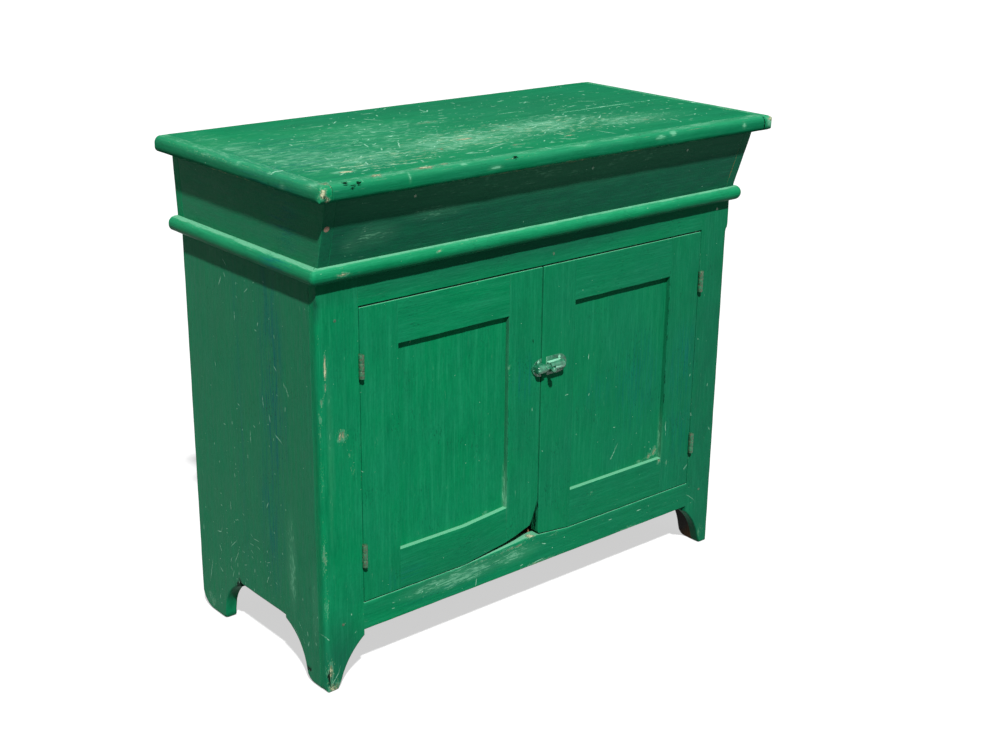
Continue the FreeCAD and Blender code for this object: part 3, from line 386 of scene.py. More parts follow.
# An earlier blue coat shows in streaks.
STAINED = [
    (-425, -96, 866, 90, 60, 10, 0.85),
    (-380, -60, 866, 150, 150, 10, 0.62),
    (-330, -150, 866, 120, 30, 10, 0.40),
    (-493, -110, 850, 12, 90, 20, 0.5),
    (-479, -95, 722, 14, 40, 16, 0.9),
    (-463, -101, 785, 14, 44, 44, 0.6),
    (-461, -45, 480, 10, 38, 230, 1.0),
    (-461, -30, 280, 10, 34, 140, 0.85),
    (-461, 60, 420, 10, 14, 260, 0.5),
    (-40, -180, 462, 26, 10, 40, 0.55),
    (358, -180, 400, 34, 10, 80, 0.6),
    (358, -180, 270, 34, 10, 60, 0.45),
    (244, -171, 392, 60, 10, 90, 0.45),
    (142, -171, 396, 40, 10, 40, 0.3),
    (-200, -180, 118, 110, 10, 20, 0.35),
    (-300, -180, 165, 50, 10, 20, 0.3),
]
# The paint has gone to pale powder.
CHALKY = [
    (0, 0, 866, 620, 330, 12, 0.20),
    (-250, -20, 866, 300, 230, 12, 0.36),
    (300, 0.6, 866, 170, 2.2, 6, 0.75),
    (-340, -110, 866, 150, 90, 12, 0.50),
    (-440, 0, 866, 60, 240, 12, 0.44),
    (-390, -60, 866, 130, 150, 12, 0.46),
    (0, -213, 826, 560, 20, 30, 0.28),
    (-368, -198, 770, 48, 16, 22, 0.36),
    (-403, -196, 758, 22, 16, 14, 0.34),
    (-250, -205, 790, 60, 14, 14, 0.30),
    (-120, -90, 866, 190, 90, 12, 0.58),
    (80, -70, 866, 170, 80, 12, 0.56),
    (-200, 70, 866, 200, 90, 12, 0.40),
    (250, -120, 866, 150, 60, 12, 0.46),
    (-410, -178, 866, 20, 9, 8, 1.0),
    (-389, -180, 866, 10, 6, 8, 0.8),
    (-180, -180, 128, 120, 8, 16, 0.56),
    (-60, -180, 128, 60, 8, 14, 0.50),
    (-441, -180, 430, 3, 5, 170, 0.40),
    (-461, -86, 200, 10, 13, 90, 0.48),
    (-461, -150, 150, 8, 10, 70, 0.36),
    (-77, -174, 250, 2.5, 7, 60, 0.75),
    (311.5, -174, 250, 2.5, 7, 60, 0.62),
    (486, -243, 856, 12, 7, 14, 0.90),
    (80, -180, 400, 5, 6, 9, 0.75),
    (-482, -220, 866, 18, 20, 10, 0.55),
    (-166, -243, 853, 16, 6, 3.5, 0.72),
    (-329.5, -240, 860, 2.2, 10, 9, 0.85),
    (-224, -238, 865, 9, 6, 4, 0.60),
    (22, -236, 865, 26, 8, 5, 0.58),
    (233, -240, 861, 9, 7, 5, 0.66),
    (201, -242, 858, 13, 6, 5, 0.68),
    (414, -243, 855, 5, 6, 7, 0.62),
    (-489, -21, 864, 7, 12, 5, 0.60),
    (-490, -109, 864, 6, 10, 5, 0.62),
    (-491, -150, 851, 6, 10, 6, 0.55),
]
# Scratches lie thickest.
SCRATCHED = [
    (20, -84, 866, 420, 118, 10, 1.0),
    (-300, -150, 866, 180, 90, 10, 0.9),
    (260, 40, 866, 240, 160, 10, 0.42),
    (-60, 90, 866, 340, 120, 10, 0.52),
    (-461, 40, 640, 12, 90, 70, 0.30),
    (-461, -60, 520, 12, 60, 90, 0.32),
    (-461, 40, 380, 12, 110, 140, 0.34),
    (-461, 60, 130, 12, 170, 120, 0.50),
    (-461, -100, 60, 12, 90, 90, 0.45),
    (-420, -180, 60, 60, 12, 90, 0.26),
    (-60, -180, 118, 300, 12, 24, 0.24),
    (240, -172, 260, 90, 12, 60, 0.14),
    (410, -180, 240, 60, 12, 240, 0.10),
    (100, -180, 420, 40, 12, 60, 0.20),
]
# Dark with handling and damp on the lid, about the latch and low on the front; painted shade in the
# hollows of the feet, over the right half of the front, and under the bead on the top rail and the left side.
GRIME_AND_SHADE = [
    (250, 60, 866, 330, 260, 12, 0.40),
    (60, 190, 866, 420, 70, 12, 0.45),
    # Painted shade in the hollows and on the inner faces of the feet.
    (-450, 92, 45, 34, 20, 62, 1.0),
    (432, -60, 50, 50, 170, 120, 1.3),
    (-432, -60, 50, 30, 100, 100, 1.0),
    # Painted shade over the right half of the front.
    (320, -180, 330, 420, 16, 520, 0.50),
    (440, -180, 300, 120, 16, 600, 0.75),
    # Painted shadow of the bead on the left side by the front corner, and on the top rail.
    (-461, -176, 670, 10, 6, 30, 0.8),
    (0, -180, 692, 520, 16, 34, 0.80),
    (-432, -180, 40, 60, 16, 90, 0.85),
    (-200, -180, 160, 190, 14, 60, 0.40),
    (100, -180, 440, 60, 14, 240, 0.22),
]
# Painted light: the well's front lightened where the lid's shadow falls on it, strongly near the top and
# faintly lower down.
LIGHTENED_UNDER_LID = [
    (0, -213, 838, 560, 20, 56, 1.60),
    (0, -206, 765, 560, 24, 60, 0.16),
]
# Splits, open joints and dents, dark inside; two of them are painted shade instead: the hollow of the
# left rear foot, and the left side just under the bead by the front corner.
SPLITS_AND_SHADE = [
    (-455, -180, 30, 3.6, 9, 20, 0.95),
    (-446, -180, 12, 6, 9, 5, 0.7),
    (-461, -124, 25, 8, 12, 6, 1.15),
    # Painted shade in the hollow of the left rear foot.
    (-450, 88, 72, 34, 16, 34, 1.5),
    (-1, -168, 190, 3, 12, 60, 0.85),
    (-77, -180, 390, 1.7, 1.7, 220, 0.58),
    (311.5, -180, 400, 1.7, 1.7, 210, 0.62),
    (469, -240, 852, 2.4, 12, 20, 1.0),
    # Painted shadow of the bead on the left side, by the front corner.
    (-461, -158, 668, 8, 3, 30, 0.6),
    (-443, -238, 864, 6, 6, 6, 0.95),
    (-421, -240, 863, 5, 6, 6, 0.95),
    (-433, -243, 858, 6, 6, 5, 0.95),
    (-123, -241, 864, 6, 6, 5, 0.95),
    (-482, -242, 850, 5, 5, 8, 0.95),
    (-20, -180, 523, 8, 6, 5, 0.55),
    (252, -180, 655, 12, 8, 5, 0.6),
]


# ---- Materials -----------------------------------------------------------------------------------
def add(tree, kind, inputs=(), **settings):
    """Adds a node with its own settings and returns its first output in use.

    Inputs are in the order of those in use, or named. Each is a number, a colour, a vector or
    another node's output.
    """
    made = tree.nodes.new("ShaderNode" + kind)
    for key, value in settings.items():
        setattr(made, key, value)
    if isinstance(inputs, dict):
        pairs = [(made.inputs[key], value) for key, value in inputs.items()]
    else:
        pairs = zip([socket for socket in made.inputs if socket.enabled], inputs)
    for socket, value in pairs:
        if isinstance(value, bpy.types.NodeSocket):
            tree.links.new(value, socket)
        elif socket.type == "RGBA":
            socket.default_value = (*tuple(value)[:3], 1.0)
        else:
            socket.default_value = value
    return next((output for output in made.outputs if output.enabled), None)


def fresh(name):
    """New material with its tree emptied but for the output."""
    material = bpy.data.materials.new(name)
    material.use_nodes = True
    tree = material.node_tree
    tree.nodes.clear()
    return tree, tree.nodes.new("ShaderNodeOutputMaterial")


# The noises of the paint: how far each is drawn out along the grain, its size in millimetres, its
# detail and roughness, and the values between which it goes from nothing to full.
PAINT_FIELDS = {
    "fade": (1.0, 110, 5.0, 0.60, 0.38, 0.66),  # clouds of faded paint
    "thick": (3.3, 28, 4.0, 0.60, 0.44, 0.72),  # paint laid thicker
    "streak": (14.0, 2.8, 4.0, 0.62, 0.36, 0.78),  # brush lines
    "sweep": (24.0, 8.0, 3.0, 0.50, 0.54, 0.74),  # long pale sweeps of the brush
    "drag": (11.0, 7.0, 5.0, 0.66, 0.36, 0.62),  # drag of the brush under sun and dust
    "mottle": (3.4, 3.2, 4.0, 0.64, 0.44, 0.66),  # small dark mottling
    "thread": (18.0, 2.6, 4.0, 0.60, 0.50, 0.72),  # fine pale threads
    "flake": (3.6, 7.0, 7.0, 0.74, 0.0, 1.0),  # flakes rubbed off the lid
    "blotch": (2.4, 16, 6.0, 0.68, 0.30, 0.70),  # blotches
    "hair": (9.0, 1.9, 3.0, 0.60, 0.32, 0.68),  # short hairs, for powder and cracks
    "film": (22.0, 4.0, 4.0, 0.60, 0.46, 0.62),  # streaks of the blue coat
    "pore": (3.0, 2.4, 2.0, 0.50, 0.58, 0.66),  # dark pores
    "chip": (1.3, 2.8, 3.0, 0.60, 0.60, 0.65),  # chips
    "open": (1.0, 60, 3.0, 0.50, 0.52, 0.80),  # where pores lie open
    "ragged": (2.2, 8.0, 7.0, 0.76, 0.0, 1.0),  # ragged edge of wear
    "fibre": (12.0, 2.2, 3.0, 0.60, 0.30, 0.70),  # wood fibre
    "speck": (1.0, 2.2, 2.0, 0.50, 0.60, 0.70),  # dirt in the bare wood
    "broken": (1.0, 3.0, 3.0, 0.60, 0.32, 0.48),  # gaps along a scratch
    "peel": (1.0, 4.5, 3.0, 0.60, 0.0, 1.0),  # orange peel
}
# Scratches: size of the cell that holds one, its length and width in millimetres, the share of cells
# cut where scratches are thickest, and the share cut everywhere.
SCRATCH_KINDS = (
    (90, 44, 0.60, 0.60, 0.004),
    (40, 18, 0.70, 0.66, 0.006),
    (24, 10, 0.66, 0.54, 0.004),
    (14, 5.0, 0.60, 0.20, 0.002),
    (30, 1.3, 0.90, 0.16, 0.016),
    (12, 0.8, 0.70, 0.18, 0.014),
)


def old_green_paint(look, name, gloss, cut):
    """Old oil paint on pine: brushed on along the grain, satin where it is sound and dull where it is
    rubbed, chalky on what lies level, cut by pale scratches, and worn through brown to a pale wood.

    gloss is its specular level, and cut the width of its scratches against those in the table.
    """
    tree, output = fresh(name)
    grain = add(tree, "Attribute", attribute_name="grain").node.outputs["Vector"]
    marks = add(tree, "Attribute", attribute_name="marks")
    worn, stained, scratched = add(tree, "SeparateColor", (marks,)).node.outputs
    chalky = marks.node.outputs["Alpha"]
    tones = add(tree, "Attribute", attribute_name="tones")
    bleached_and_lit, grime_and_shade, dust_and_painted_light = add(tree, "SeparateColor", (tones,)).node.outputs
    split = tones.node.outputs["Alpha"]
    fields = {}
    for key, (drawn, size, fine, coarse, low, high) in PAINT_FIELDS.items():
        place = add(tree, "VectorMath", (grain, (1 / drawn, 1.0, 1.0)), operation="MULTIPLY")
        noise = add(tree, "TexNoise", {"Vector": place, "Scale": 1 / (size * MM), "Detail": fine,
                                       "Roughness": coarse})
        fields[key] = add(tree, "MapRange", (noise, low, high))

    # Scratches: one line in each cell of a Voronoi pattern, bent by up to 6 mm. A random turn times its
    # own size, up to 1.7 radians, leaves most of them near the grain, and some are 3.2 times shorter.
    warp = add(tree, "TexNoise", {"Vector": grain, "Scale": 1 / (30 * MM), "Detail": 2.0})
    warp = add(tree, "VectorMath", {"Vector": warp.node.outputs["Color"], "Scale": 6 * MM}, operation="SCALE")
    bent = add(tree, "VectorMath", (grain, warp), operation="ADD")
    cuts = 0.0
    for cell, length, width, share, least in SCRATCH_KINDS:
        field = add(tree, "TexVoronoi", {"Vector": bent, "Scale": 1 / (cell * MM)}, voronoi_dimensions="2D")
        field = field.node.outputs
        turn, chance, shorter = add(tree, "SeparateColor", (field["Color"],)).node.outputs
        turn = add(tree, "MapRange", (turn, 0.0, 1.0, -1.0, 1.0))
        steep = add(tree, "Math", (turn,), operation="ABSOLUTE")
        turn = add(tree, "Math", (turn, steep), operation="MULTIPLY")
        turn = add(tree, "Math", (turn, 1.7), operation="MULTIPLY")
        local = add(tree, "VectorMath", (bent, field["Position"]), operation="SUBTRACT")
        local = add(tree, "VectorRotate", {"Vector": local, "Angle": turn}, rotation_type="Z_AXIS")
        local = add(tree, "SeparateXYZ", (local,)).node.outputs
        across = add(tree, "Math", (local[1],), operation="ABSOLUTE")
        line = add(tree, "MapRange", (across, width * cut * 0.5 * MM, width * cut * 1.3 * MM, 1.0, 0.0))
        along = add(tree, "Math", (local[0],), operation="ABSOLUTE")
        shorter = add(tree, "MapRange", (shorter, 0.0, 1.0, 1.0, 3.2))
        along = add(tree, "Math", (along, shorter), operation="MULTIPLY")
        ends = add(tree, "MapRange", (along, length * 0.4 * MM, length * MM, 1.0, 0.0))
        likely = add(tree, "Math", (scratched, share, least), operation="MULTIPLY_ADD")
        chosen = add(tree, "Math", (chance, likely), operation="LESS_THAN")
        line = add(tree, "Math", (line, ends), operation="MULTIPLY")
        line = add(tree, "Math", (line, chosen), operation="MULTIPLY")
        cuts = add(tree, "Math", (cuts, line), operation="MAXIMUM")
    cuts = add(tree, "Math", (cuts, fields["broken"]), operation="MULTIPLY")

    # Sun fading with its painted highlight, dirt with its painted shade, and dust with its painted light
    # under the lid lie unevenly, each between two shares of its strength.
    blotch, drag, hair = fields["blotch"], fields["drag"], fields["hair"]
    uneven_bleach_and_light = add(tree, "MapRange", (drag, 0.0, 1.0, 0.30, 1.1))
    bleached_and_lit = add(tree, "Math", (uneven_bleach_and_light, bleached_and_lit), operation="MULTIPLY")
    uneven_grime_and_shade = add(tree, "MapRange", (blotch, 0.0, 1.0, 0.7, 1.0))
    grime_and_shade = add(tree, "Math", (uneven_grime_and_shade, grime_and_shade), operation="MULTIPLY")
    # Dust, and the painted light under the lid, thin out along the brush's drag.
    brushed = add(tree, "MapRange", (drag, 0.0, 1.0, 1.0, 0.50))
    dust_and_painted_light = add(tree, "Math", (brushed, dust_and_painted_light), operation="MULTIPLY")

    # Covers that come from a noise and an attribute together.
    film = add(tree, "Math", (fields["film"], stained), operation="MULTIPLY")
    opened = add(tree, "Math", (stained, 0.7, fields["open"]), operation="MULTIPLY_ADD")
    pore = add(tree, "Math", (fields["pore"], opened), operation="MULTIPLY")
    powder = add(tree, "Math", (blotch, hair), operation="ADD")
    powder = add(tree, "Math", (powder, 0.5, chalky), operation="MULTIPLY_ADD")
    powder = add(tree, "MapRange", (powder, 0.80, 1.20), interpolation_type="SMOOTHSTEP")
    haze = add(tree, "Math", (chalky, 0.42), operation="MULTIPLY")
    powder = add(tree, "Math", (powder, haze), operation="MAXIMUM")
    rubbed = add(tree, "MapRange", (scratched, 0.30, 0.72, 0.0, 0.5))
    rubbed = add(tree, "Math", (rubbed, fields["flake"]), operation="ADD")
    rubbed = add(tree, "MapRange", (rubbed, 1.05, 1.15), interpolation_type="SMOOTHSTEP")
    rub = add(tree, "Math", (fields["ragged"], worn), operation="ADD")
    bloom, thin, bare = [add(tree, "MapRange", (rub, *ends), interpolation_type="SMOOTHSTEP")
                         for ends in ((0.84, 0.97), (0.95, 1.01), (1.02, 1.08))]
    chipped = add(tree, "MapRange", (worn, 0.16, 0.55))
    chip = add(tree, "Math", (fields["chip"], chipped), operation="MULTIPLY", use_clamp=True)
    # Dark splits, and the painted shade of the split table, take the near-black coat.
    crack_and_shade = add(tree, "Math", (hair, split), operation="ADD")
    crack_and_shade = add(tree, "MapRange", (crack_and_shade, 1.12, 1.26), interpolation_type="SMOOTHSTEP")
    wood = add(tree, "Mix", (fields["fibre"], linear("98A27A"), linear("DFE4BE")), data_type="RGBA")
    wood = add(tree, "Mix", (fields["speck"], wood, linear("565339")), data_type="RGBA")
    brown = add(tree, "Mix", (fields["fibre"], linear("4F6A4C"), linear("78875F")), data_type="RGBA")

    # Coats from the lowest up: the cover, the most it hides, and its colour.
    colour = look.green
    # Among the coats, the faded green on what faces up is also a painted highlight, the darkened green is
    # also painted shade, the dust is also painted light on the well's front under the lid, and the near-black
    # split coat is also painted shade.
    for cover, most, coat in (
            (fields["fade"], 1.0, look.green_faded), (fields["thick"], 0.48, look.green_deep),
            (fields["streak"], 0.26, linear("1F9C6A")), (fields["sweep"], 0.26, linear("2EA676")),
            (bleached_and_lit, 1.0, look.green_bleached_and_lit), (grime_and_shade, 1.0, look.green_grime_and_shade), (dust_and_painted_light, 1.0, look.dust),
            (fields["mottle"], 0.28, look.green_deep), (fields["thread"], 0.11, linear("45A883")),
            (film, 0.80, look.blue), (pore, 0.70, linear("0A4030")), (powder, 0.92, look.chalk),
            (rubbed, 0.62, linear("BFE0B8")), (cuts, 0.80, look.scratch), (bloom, 0.50, linear("6FB392")),
            (chip, 0.70, linear("A9CC9C")), (thin, 0.85, brown), (bare, 1.0, wood),
            (crack_and_shade, 0.95, linear("07130D"))):
        cover = add(tree, "Math", (cover, most), operation="MULTIPLY")
        colour = add(tree, "Mix", (cover, colour, coat), data_type="RGBA")

    # Relief, as shares of 0.7 mm: orange peel and brush lines, then cuts and lost paint.
    height = add(tree, "Math", (fields["peel"], 0.5), operation="MULTIPLY")
    for field, depth in ((fields["streak"], 0.30), (blotch, 0.25), (thin, -0.35), (bare, -0.35),
                         (pore, -0.3), (cuts, -0.3), (crack_and_shade, -1.0)):
        height = add(tree, "Math", (field, depth, height), operation="MULTIPLY_ADD")
    bump = add(tree, "Bump", {"Height": height, "Strength": 0.9, "Distance": 0.7 * MM})
    rough = add(tree, "MapRange", (fields["fade"], 0.0, 1.0, 0.36, 0.46))
    rough = add(tree, "Mix", (thin, rough, 0.75), data_type="FLOAT")
    rough = add(tree, "Mix", (powder, rough, 0.70), data_type="FLOAT")
    surface = add(tree, "BsdfPrincipled", {"Base Color": colour, "Roughness": rough, "Normal": bump,
                                           "IOR": 1.5, "Specular IOR Level": gloss})
    tree.links.new(surface, output.inputs[0])


def aged_bare_pine(look):
    """Unpainted sawn pine, browned by a century of air: long rings, darker late wood, dust and dirt. Where
    the paint's dark tone runs high, as inside the feet and on what faces down, it goes near black as painted
    shade.
    """
    tree, output = fresh("aged_bare_pine")
    grain = add(tree, "Attribute", attribute_name="grain").node.outputs["Vector"]
    tones = add(tree, "Attribute", attribute_name="tones")
    # Painted shade: near black where the dark tone passes 0.6.
    painted_shade = add(tree, "SeparateColor", (tones,)).node.outputs["Green"]
    painted_shade = add(tree, "MapRange", (painted_shade, 0.6, 1.0))
    long = add(tree, "VectorMath", (grain, (0.06, 1.0, 1.0)), operation="MULTIPLY")
    # Growth rings 5.5 mm apart that drift across the board. At a scale of 1 the waves are 0.31 apart.
    drift = add(tree, "TexNoise", {"Vector": long, "Scale": 1 / (90 * MM), "Detail": 2.0})
    drift = add(tree, "VectorMath", {"Vector": drift.node.outputs["Color"], "Scale": 60 * MM},
                operation="SCALE")
    place = add(tree, "VectorMath", (long, drift), operation="ADD")
    rings = add(tree, "TexWave", {"Vector": place, "Scale": 0.31 / (5.5 * MM), "Distortion": 1.5,
                                  "Detail": 2.0, "Detail Scale": 1.0}, bands_direction="Y")
    rings = rings.node.outputs["Fac"]
    fibre = add(tree, "TexNoise", {"Vector": long, "Scale": 1 / (1.6 * MM), "Detail": 4.0})
    dirt = add(tree, "TexNoise", {"Vector": grain, "Scale": 1 / (110 * MM), "Detail": 5.0, "Roughness": 0.6})
    colour = add(tree, "Mix", (rings, look.pine, look.pine_ring), data_type="RGBA")
    thread = add(tree, "MapRange", (fibre, 0.4, 0.75, 0.0, 0.5))
    colour = add(tree, "Mix", (thread, colour, linear("5E4128")), data_type="RGBA")
    grime = add(tree, "MapRange", (dirt, 0.45, 0.75, 0.0, 0.6))
    colour = add(tree, "Mix", (grime, colour, linear("3E2C1D")), data_type="RGBA")
    colour = add(tree, "Mix", (painted_shade, colour, linear("14120E")), data_type="RGBA")
    height = add(tree, "Math", (rings, 0.4, fibre), operation="MULTIPLY_ADD")
    bump = add(tree, "Bump", {"Height": height, "Strength": 0.7, "Distance": 0.4 * MM})
    surface = add(tree, "BsdfPrincipled", {"Base Color": colour, "Roughness": 0.78, "Normal": bump,
                                           "IOR": 1.5, "Specular IOR Level": 0.25})
    tree.links.new(surface, output.inputs[0])


def end_grain_pine(look):
    """End grain of a pine plug whose paint has gone: pinkish brown, pitted, a little polished by hands."""
    tree, output = fresh("end_grain_pine")
    place = add(tree, "TexCoord").node.outputs["Object"]
    pits = add(tree, "TexNoise", {"Vector": place, "Scale": 1 / (1.5 * MM), "Detail": 5.0, "Roughness": 0.6})
    tone = add(tree, "MapRange", (pits, 0.35, 0.65))
    colour = add(tree, "Mix", (tone, linear("8C6A58"), linear("C9A995")), data_type="RGBA")
    bump = add(tree, "Bump", {"Height": pits, "Strength": 0.6, "Distance": 0.4 * MM})
    surface = add(tree, "BsdfPrincipled", {"Base Color": colour, "Roughness": 0.6, "Normal": bump,
                                           "IOR": 1.5, "Specular IOR Level": 0.2})
    tree.links.new(surface, output.inputs[0])


def painted_cast_iron(look):
    """Sand-cast iron under many coats of the cabinet's green: lumpy, glossy, darker and lighter in patches,
    and rubbed to grey iron in patches. Its sharp edges are pale, both as rubbed paint and as a painted
    highlight."""
    tree, output = fresh("painted_cast_iron")
    place = add(tree, "TexCoord").node.outputs["Object"]
    cast = add(tree, "TexNoise", {"Vector": place, "Scale": 1 / (1.8 * MM), "Detail": 5.0, "Roughness": 0.62})
    patch = add(tree, "TexNoise", {"Vector": place, "Scale": 1 / (7 * MM), "Detail": 5.0, "Roughness": 0.6})
    ridge = add(tree, "NewGeometry").node.outputs["Pointiness"]
    tone = add(tree, "MapRange", (patch, 0.35, 0.65))
    colour = add(tree, "Mix", (tone, linear("0B4A34"), linear("2E8662")), data_type="RGBA")
    # Pale sharp edges: rubbed paint, and a painted highlight.
    rim = add(tree, "MapRange", (ridge, 0.54, 0.60))
    colour = add(tree, "Mix", (rim, colour, linear("8FD2B2")), data_type="RGBA")
    worn = add(tree, "MapRange", (patch, 0.66, 0.70), interpolation_type="SMOOTHSTEP")
    colour = add(tree, "Mix", (worn, colour, linear("4E6A56")), data_type="RGBA")
    height = add(tree, "Math", (worn, -0.5, cast), operation="MULTIPLY_ADD")
    bump = add(tree, "Bump", {"Height": height, "Strength": 0.6, "Distance": 0.5 * MM})
    surface = add(tree, "BsdfPrincipled", {"Base Color": colour, "Roughness": 0.22, "Normal": bump,
                                           "IOR": 1.5, "Specular IOR Level": 0.5})
    tree.links.new(surface, output.inputs[0])


def rusted_steel(look):
    """Rolled steel gone dull olive with rust, most of it under green flecks of the cabinet's paint."""
    tree, output = fresh("rusted_steel")
    place = add(tree, "TexCoord").node.outputs["Object"]
    bloom = add(tree, "TexNoise", {"Vector": place, "Scale": 1 / (3 * MM), "Detail": 6.0, "Roughness": 0.7})
    fleck = add(tree, "TexNoise", {"Vector": place, "Scale": 1 / (4 * MM), "Detail": 4.0, "Roughness": 0.65})
    rust = add(tree, "MapRange", (bloom, 0.35, 0.65))
    steel = add(tree, "Mix", (rust, linear("1B2416"), linear("64775A")), data_type="RGBA")
    paint = add(tree, "MapRange", (fleck, 0.42, 0.54), interpolation_type="SMOOTHSTEP")
    colour = add(tree, "Mix", (paint, steel, linear("226846")), data_type="RGBA")
    metal = add(tree, "MapRange", (paint, 0.0, 1.0, 0.15, 0.0))
    height = add(tree, "Math", (paint, 0.6, bloom), operation="MULTIPLY_ADD")
    bump = add(tree, "Bump", {"Height": height, "Strength": 0.8, "Distance": 0.3 * MM})
    surface = add(tree, "BsdfPrincipled", {"Base Color": colour, "Metallic": metal, "Roughness": 0.46,
                                           "Normal": bump})
    tree.links.new(surface, output.inputs[0])


def seen_direct(tree):
    """1 for rays from the camera, from gloss and through glass, and 0 for all others."""
    path = add(tree, "LightPath").node.outputs
    seen = add(tree, "Math", (path["Is Camera Ray"], path["Is Glossy Ray"]), operation="MAXIMUM")
    return add(tree, "Math", (seen, path["Is Transmission Ray"]), operation="MAXIMUM")


def pale_stage():
    """Matt white seen by the camera, by gloss and through glass; a pale floor to every other ray."""
    tree, output = fresh("pale_stage")
    matt = add(tree, "BsdfDiffuse", (linear("747474"),))
    shown = add(tree, "BsdfDiffuse", (linear("B0B0B0"),))
    glow = add(tree, "Emission", ((1.0, 1.0, 1.0), 0.60))
    both = add(tree, "AddShader", (shown, glow))
    mixed = add(tree, "MixShader", (seen_direct(tree), matt, both))
    tree.links.new(mixed, output.inputs[0])


# ---- Sizes and colours that a user may change ----------------------------------------------------
def tint(name, description, code):
    """Colour that a user may change, from an sRGB hex code."""
    return bpy.props.FloatVectorProperty(name=name, description=description, subtype="COLOR", size=3,
                                         min=0, max=1, default=linear(code))


def millimetres(name, description, default, low, high):
    """Length that a user may change."""
    return bpy.props.FloatProperty(name=name, description=description + ", in millimetres",
                                   default=default, min=low, max=high)


class DrySinkLook(bpy.types.PropertyGroup):
    """Colours and wear of the cabinet."""

    green: tint("Green", "Paint where it is sound", "068250")
    green_faded: tint("Faded green", "Paint where it has faded", "108055")
    green_deep: tint("Deep green", "Paint where it lies thick", "046A43")
    # Lighter paint on what faces up: faded by the sun, and a painted highlight.
    green_bleached_and_lit: tint("Bleached green", "Paint where it faces up", "38AA78")
    # Darker paint, both grime and painted shade: under the lid, under the bead and in the feet.
    green_grime_and_shade: tint("Grimy green", "Paint under the lid", "1A5844")
    blue: tint("Blue", "Earlier coat under the green", "0B6468")
    chalk: tint("Chalk", "Paint gone to powder where it lies level", "6AB28D")
    scratch: tint("Scratches", "Chalky lines cut in the paint", "A6E0C2")
    # Also the colour of the painted light on the well's front under the lid.
    dust: tint("Dust", "Paint greyed by dust", "307A5A")
    pine: tint("Pine", "Unpainted wood", "A37B4E")
    pine_ring: tint("Pine rings", "Late wood of the unpainted boards", "7A5532")
    arris_wear: bpy.props.FloatProperty(
        name="Arris wear", description="How far the paint has gone from the arrises", subtype="FACTOR",
        default=0.5, min=0, max=1)
    arris_radius: millimetres("Arris radius", "Rounding of the boards' arrises", 0.9, 0.2, 3)


class DrySinkDetail(bpy.types.PropertyGroup):
    """Fineness of the surfaces and sizes of the small metalwork."""

    step: millimetres("Shown step", "Grid step of the painted faces", 5.0, 2, 40)
    hidden_step: millimetres("Hidden step", "Grid step of the boards inside", 14.0, 4, 60)
    flatness: millimetres("Plane marks", "Height of the waves a hand plane left", 0.14, 0, 1)
    nail_radius: millimetres("Nail head", "Radius of the nail heads", 2.6, 1, 5)


def look():
    """The cabinet's colours and wear."""
    return bpy.context.scene.dry_sink_look


def detail():
    """The cabinet's fineness."""
    return bpy.context.scene.dry_sink_detail


def plank(low, high, along, shown=True, **more):
    """Board with the user's arris radius, plane marks and grid step."""
    settings = {"step": detail().step if shown else detail().hidden_step,
                "radius": look().arris_radius, "flat": detail().flatness}
    return board(low, high, along, **{**settings, **more})


# ---- Case ----------------------------------------------------------------------------------------
# The arch between a side's feet: where it ends in from the front and from the back, and its height.
ARCH_FRONT, ARCH_REAR, ARCH_TOP = 120, 134, 94.5
# Heights at which a foot's grid has a line.
FOOT_LINES = [3, 8, 15, 25, 40]
# Low crown of the bottom rail under the gap between the doors: places along it, and its height.
CROWN_AT, CROWN_HEIGHT = (-180.4, -20.4, 74.6), (0, 10, 0)


def hollow(s, start, end, sag):
    """Height of a bracket foot's curve at s: a circle's arc from start to end that rises above its
    chord by sag."""
    (s0, z0), (s1, z1) = start, end
    run, rise = s1 - s0, z1 - z0
    chord = math.hypot(run, rise)
    radius = (chord ** 2 / 4 + sag ** 2) / (2 * sag)
    centre_s = (s0 + s1) / 2 + rise / chord * (radius - sag)
    centre_z = (z0 + z1) / 2 - run / chord * (radius - sag)
    return centre_z + np.sqrt(np.maximum(radius ** 2 - (s - centre_s) ** 2, 0))


def foot(s, heel, toe, toe_r, top, rise, sag):
    """Underside of a foot at a distance s in from its outer edge: an arc of the heel's radius, a flat
    sole, an arc up at the toe, and a hollow to the height of rise at top."""
    heel_arc = heel - np.sqrt(np.maximum(heel ** 2 - (heel - s) ** 2, 0)) if heel else 0 * s
    toe_arc = toe_r - np.sqrt(np.maximum(toe_r ** 2 - (s - toe + toe_r) ** 2, 0))
    curve = hollow(s, (toe, toe_r), (top, rise), sag)
    return np.select([s < heel, s < toe - toe_r, s < toe, s < top + 0.1],
                     [heel_arc, 0 * s, toe_arc, curve], rise)


def raised(z, floor, reach):
    """Heights lifted to a floor line, fading out at reach."""
    return z + floor * (1 - np.clip(z / reach, 0, 1))


